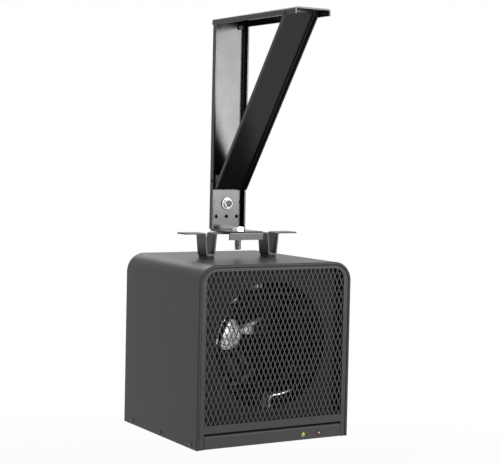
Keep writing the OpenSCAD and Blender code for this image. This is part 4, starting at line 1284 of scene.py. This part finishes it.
class HEATER_OT_stage(bpy.types.Operator):
    """Sets up the floor, the studio light and the camera"""

    bl_idname = "heater.stage"
    bl_label = "Set Up Studio"

    def seen_white(self, tree, plain, white, strength, output):
        """Ends a tree in plain, mixed with white where the camera or a reflection sees it."""
        rays = new_node(tree, "ShaderNodeLightPath").outputs
        seen = rays["Is Camera Ray"]
        for other in ("Is Glossy Ray", "Is Transmission Ray"):
            seen = maths(tree, "MAXIMUM", seen, rays[other])
        weight = maths(tree, "MULTIPLY", seen, strength)
        feeds = {0: weight, 1: plain.outputs[0], 2: white.outputs[0]}
        mix = new_node(tree, "ShaderNodeMixShader", feeds)
        new_node(tree, output, {"Surface": mix.outputs[0]})

    def floor(self, settings):
        """Lays the pale floor."""
        nothing_selected()
        bpy.ops.mesh.primitive_plane_add(size=FLOOR_SIZE, location=(0, 0, -settings.floor_drop))
        ground = named("studio_floor")
        bpy.ops.object.transform_apply(location=True)
        material = bpy.data.materials.new("Pale Floor")
        material.use_nodes = True
        tree = material.node_tree
        tree.nodes.clear()
        place = new_node(tree, "ShaderNodeTexCoord").outputs["Object"]
        away = new_node(tree, "ShaderNodeVectorMath", {0: place}, operation="LENGTH")
        whiter = map_range(tree, away.outputs["Value"], LEAST_WHITE, 1.0, WHITE_NEAR, WHITE_FAR)
        pale = new_node(tree, "ShaderNodeBsdfDiffuse", {"Color": (0.86, 0.86, 0.86, 1)})
        white = new_node(tree, "ShaderNodeEmission", {"Strength": 1.0})
        self.seen_white(tree, pale, white, whiter, "ShaderNodeOutputMaterial")
        ground.data.materials.append(material)

    def surround(self, settings):
        """Sets the even light from all round."""
        world = bpy.data.worlds.new("Studio Surround")
        bpy.context.scene.world = world
        world.use_nodes = True
        tree = world.node_tree
        tree.nodes.clear()
        feeds = {"Color": (1, 1, 1, 1), "Strength": settings.sky}
        even = new_node(tree, "ShaderNodeBackground", feeds)
        white = new_node(tree, "ShaderNodeBackground", {**feeds, "Strength": 1.0})
        self.seen_white(tree, even, white, 1.0, "ShaderNodeOutputWorld")

    def soft_light(self, name, at, aim, size, watts):
        """Adds a rectangular light that the camera doesn't see."""
        nothing_selected()
        bpy.ops.object.light_add(type="AREA", location=at)
        light = bpy.context.object
        light.name = name
        light.data.shape = "RECTANGLE"
        light.data.size, light.data.size_y = size
        light.data.energy = watts
        light.rotation_euler = (Vector(aim) - Vector(at)).to_track_quat("-Z", "Y").to_euler()
        light.visible_camera = False

    def camera(self):
        """Puts the camera where it stood for the photograph."""
        nothing_selected()
        level = math.cos(CAMERA_PITCH)
        forward = Vector((-math.sin(CAMERA_TURN) * level, math.cos(CAMERA_TURN) * level, 0))
        forward.z = math.sin(CAMERA_PITCH)
        turn = forward.to_track_quat("-Z", "Y") @ Quaternion((0, 0, 1), CAMERA_ROLL)
        bpy.ops.object.camera_add(location=CAMERA_AT, rotation=turn.to_euler())
        camera = bpy.context.object
        camera.name = "photo_camera"
        camera.data.sensor_width = SENSOR
        camera.data.lens = FOCAL_PIXELS * SENSOR / PICTURE_WIDTH
        camera.data.shift_y = SHIFT_DOWN
        camera.data.clip_start, camera.data.clip_end = 0.05, 200
        bpy.context.scene.camera = camera

    def execute(self, context):
        settings = context.scene.heater_studio
        self.floor(settings)
        self.surround(settings)
        for name, at, aim, size in LIGHTS:
            self.soft_light(name + "_light", at, aim, size, getattr(settings, name + "_power"))
        self.camera()
        context.scene.view_settings.view_transform = "Standard"
        return {"FINISHED"}


# ---- Panel and registration ----------------------------------------------------


OPERATORS = (
    HEATER_OT_bracket,
    HEATER_OT_casing,
    HEATER_OT_heating,
    HEATER_OT_fan,
    HEATER_OT_wiring,
    HEATER_OT_lamps,
    HEATER_OT_front_mesh,
    HEATER_OT_welds,
    HEATER_OT_bolts,
    HEATER_OT_screws,
    HEATER_OT_stage,
)
SETTINGS = {
    "heater_paints": PaintSettings,
    "heater_metals": MetalSettings,
    "heater_mesh": MeshSettings,
    "heater_fan": FanSettings,
    "heater_fasteners": FastenerSettings,
    "heater_studio": StudioSettings,
}


class HEATER_PT_sidebar(bpy.types.Panel):
    """Lists the heater's settings and the steps that finish it"""

    bl_idname = "HEATER_PT_sidebar"
    bl_label = "Fan Heater"
    bl_space_type = "VIEW_3D"
    bl_region_type = "UI"
    bl_category = "Fan Heater"

    def draw(self, context):
        for name in SETTINGS:
            box = self.layout.box()
            group = getattr(context.scene, name)
            for setting in group.bl_rna.properties:
                if setting.identifier not in ("rna_type", "name"):
                    box.prop(group, setting.identifier)
        for operator in OPERATORS:
            self.layout.operator(operator.bl_idname)


def register():
    """Registers the settings, the operators and the panel."""
    for group in SETTINGS.values():
        bpy.utils.register_class(group)
    for operator in OPERATORS:
        bpy.utils.register_class(operator)
    bpy.utils.register_class(HEATER_PT_sidebar)
    for name, group in SETTINGS.items():
        setattr(bpy.types.Scene, name, PointerProperty(type=group))


def unregister():
    """Takes away what register added."""
    for name in SETTINGS:
        delattr(bpy.types.Scene, name)
    bpy.utils.unregister_class(HEATER_PT_sidebar)
    for operator in reversed(OPERATORS):
        bpy.utils.unregister_class(operator)
    for group in reversed(list(SETTINGS.values())):
        bpy.utils.unregister_class(group)


def main():
    """Runs every step in order."""
    register()
    for operator in OPERATORS:
        category, name = operator.bl_idname.split(".")
        getattr(getattr(bpy.ops, category), name)()


if __name__ == "__main__":
    main()
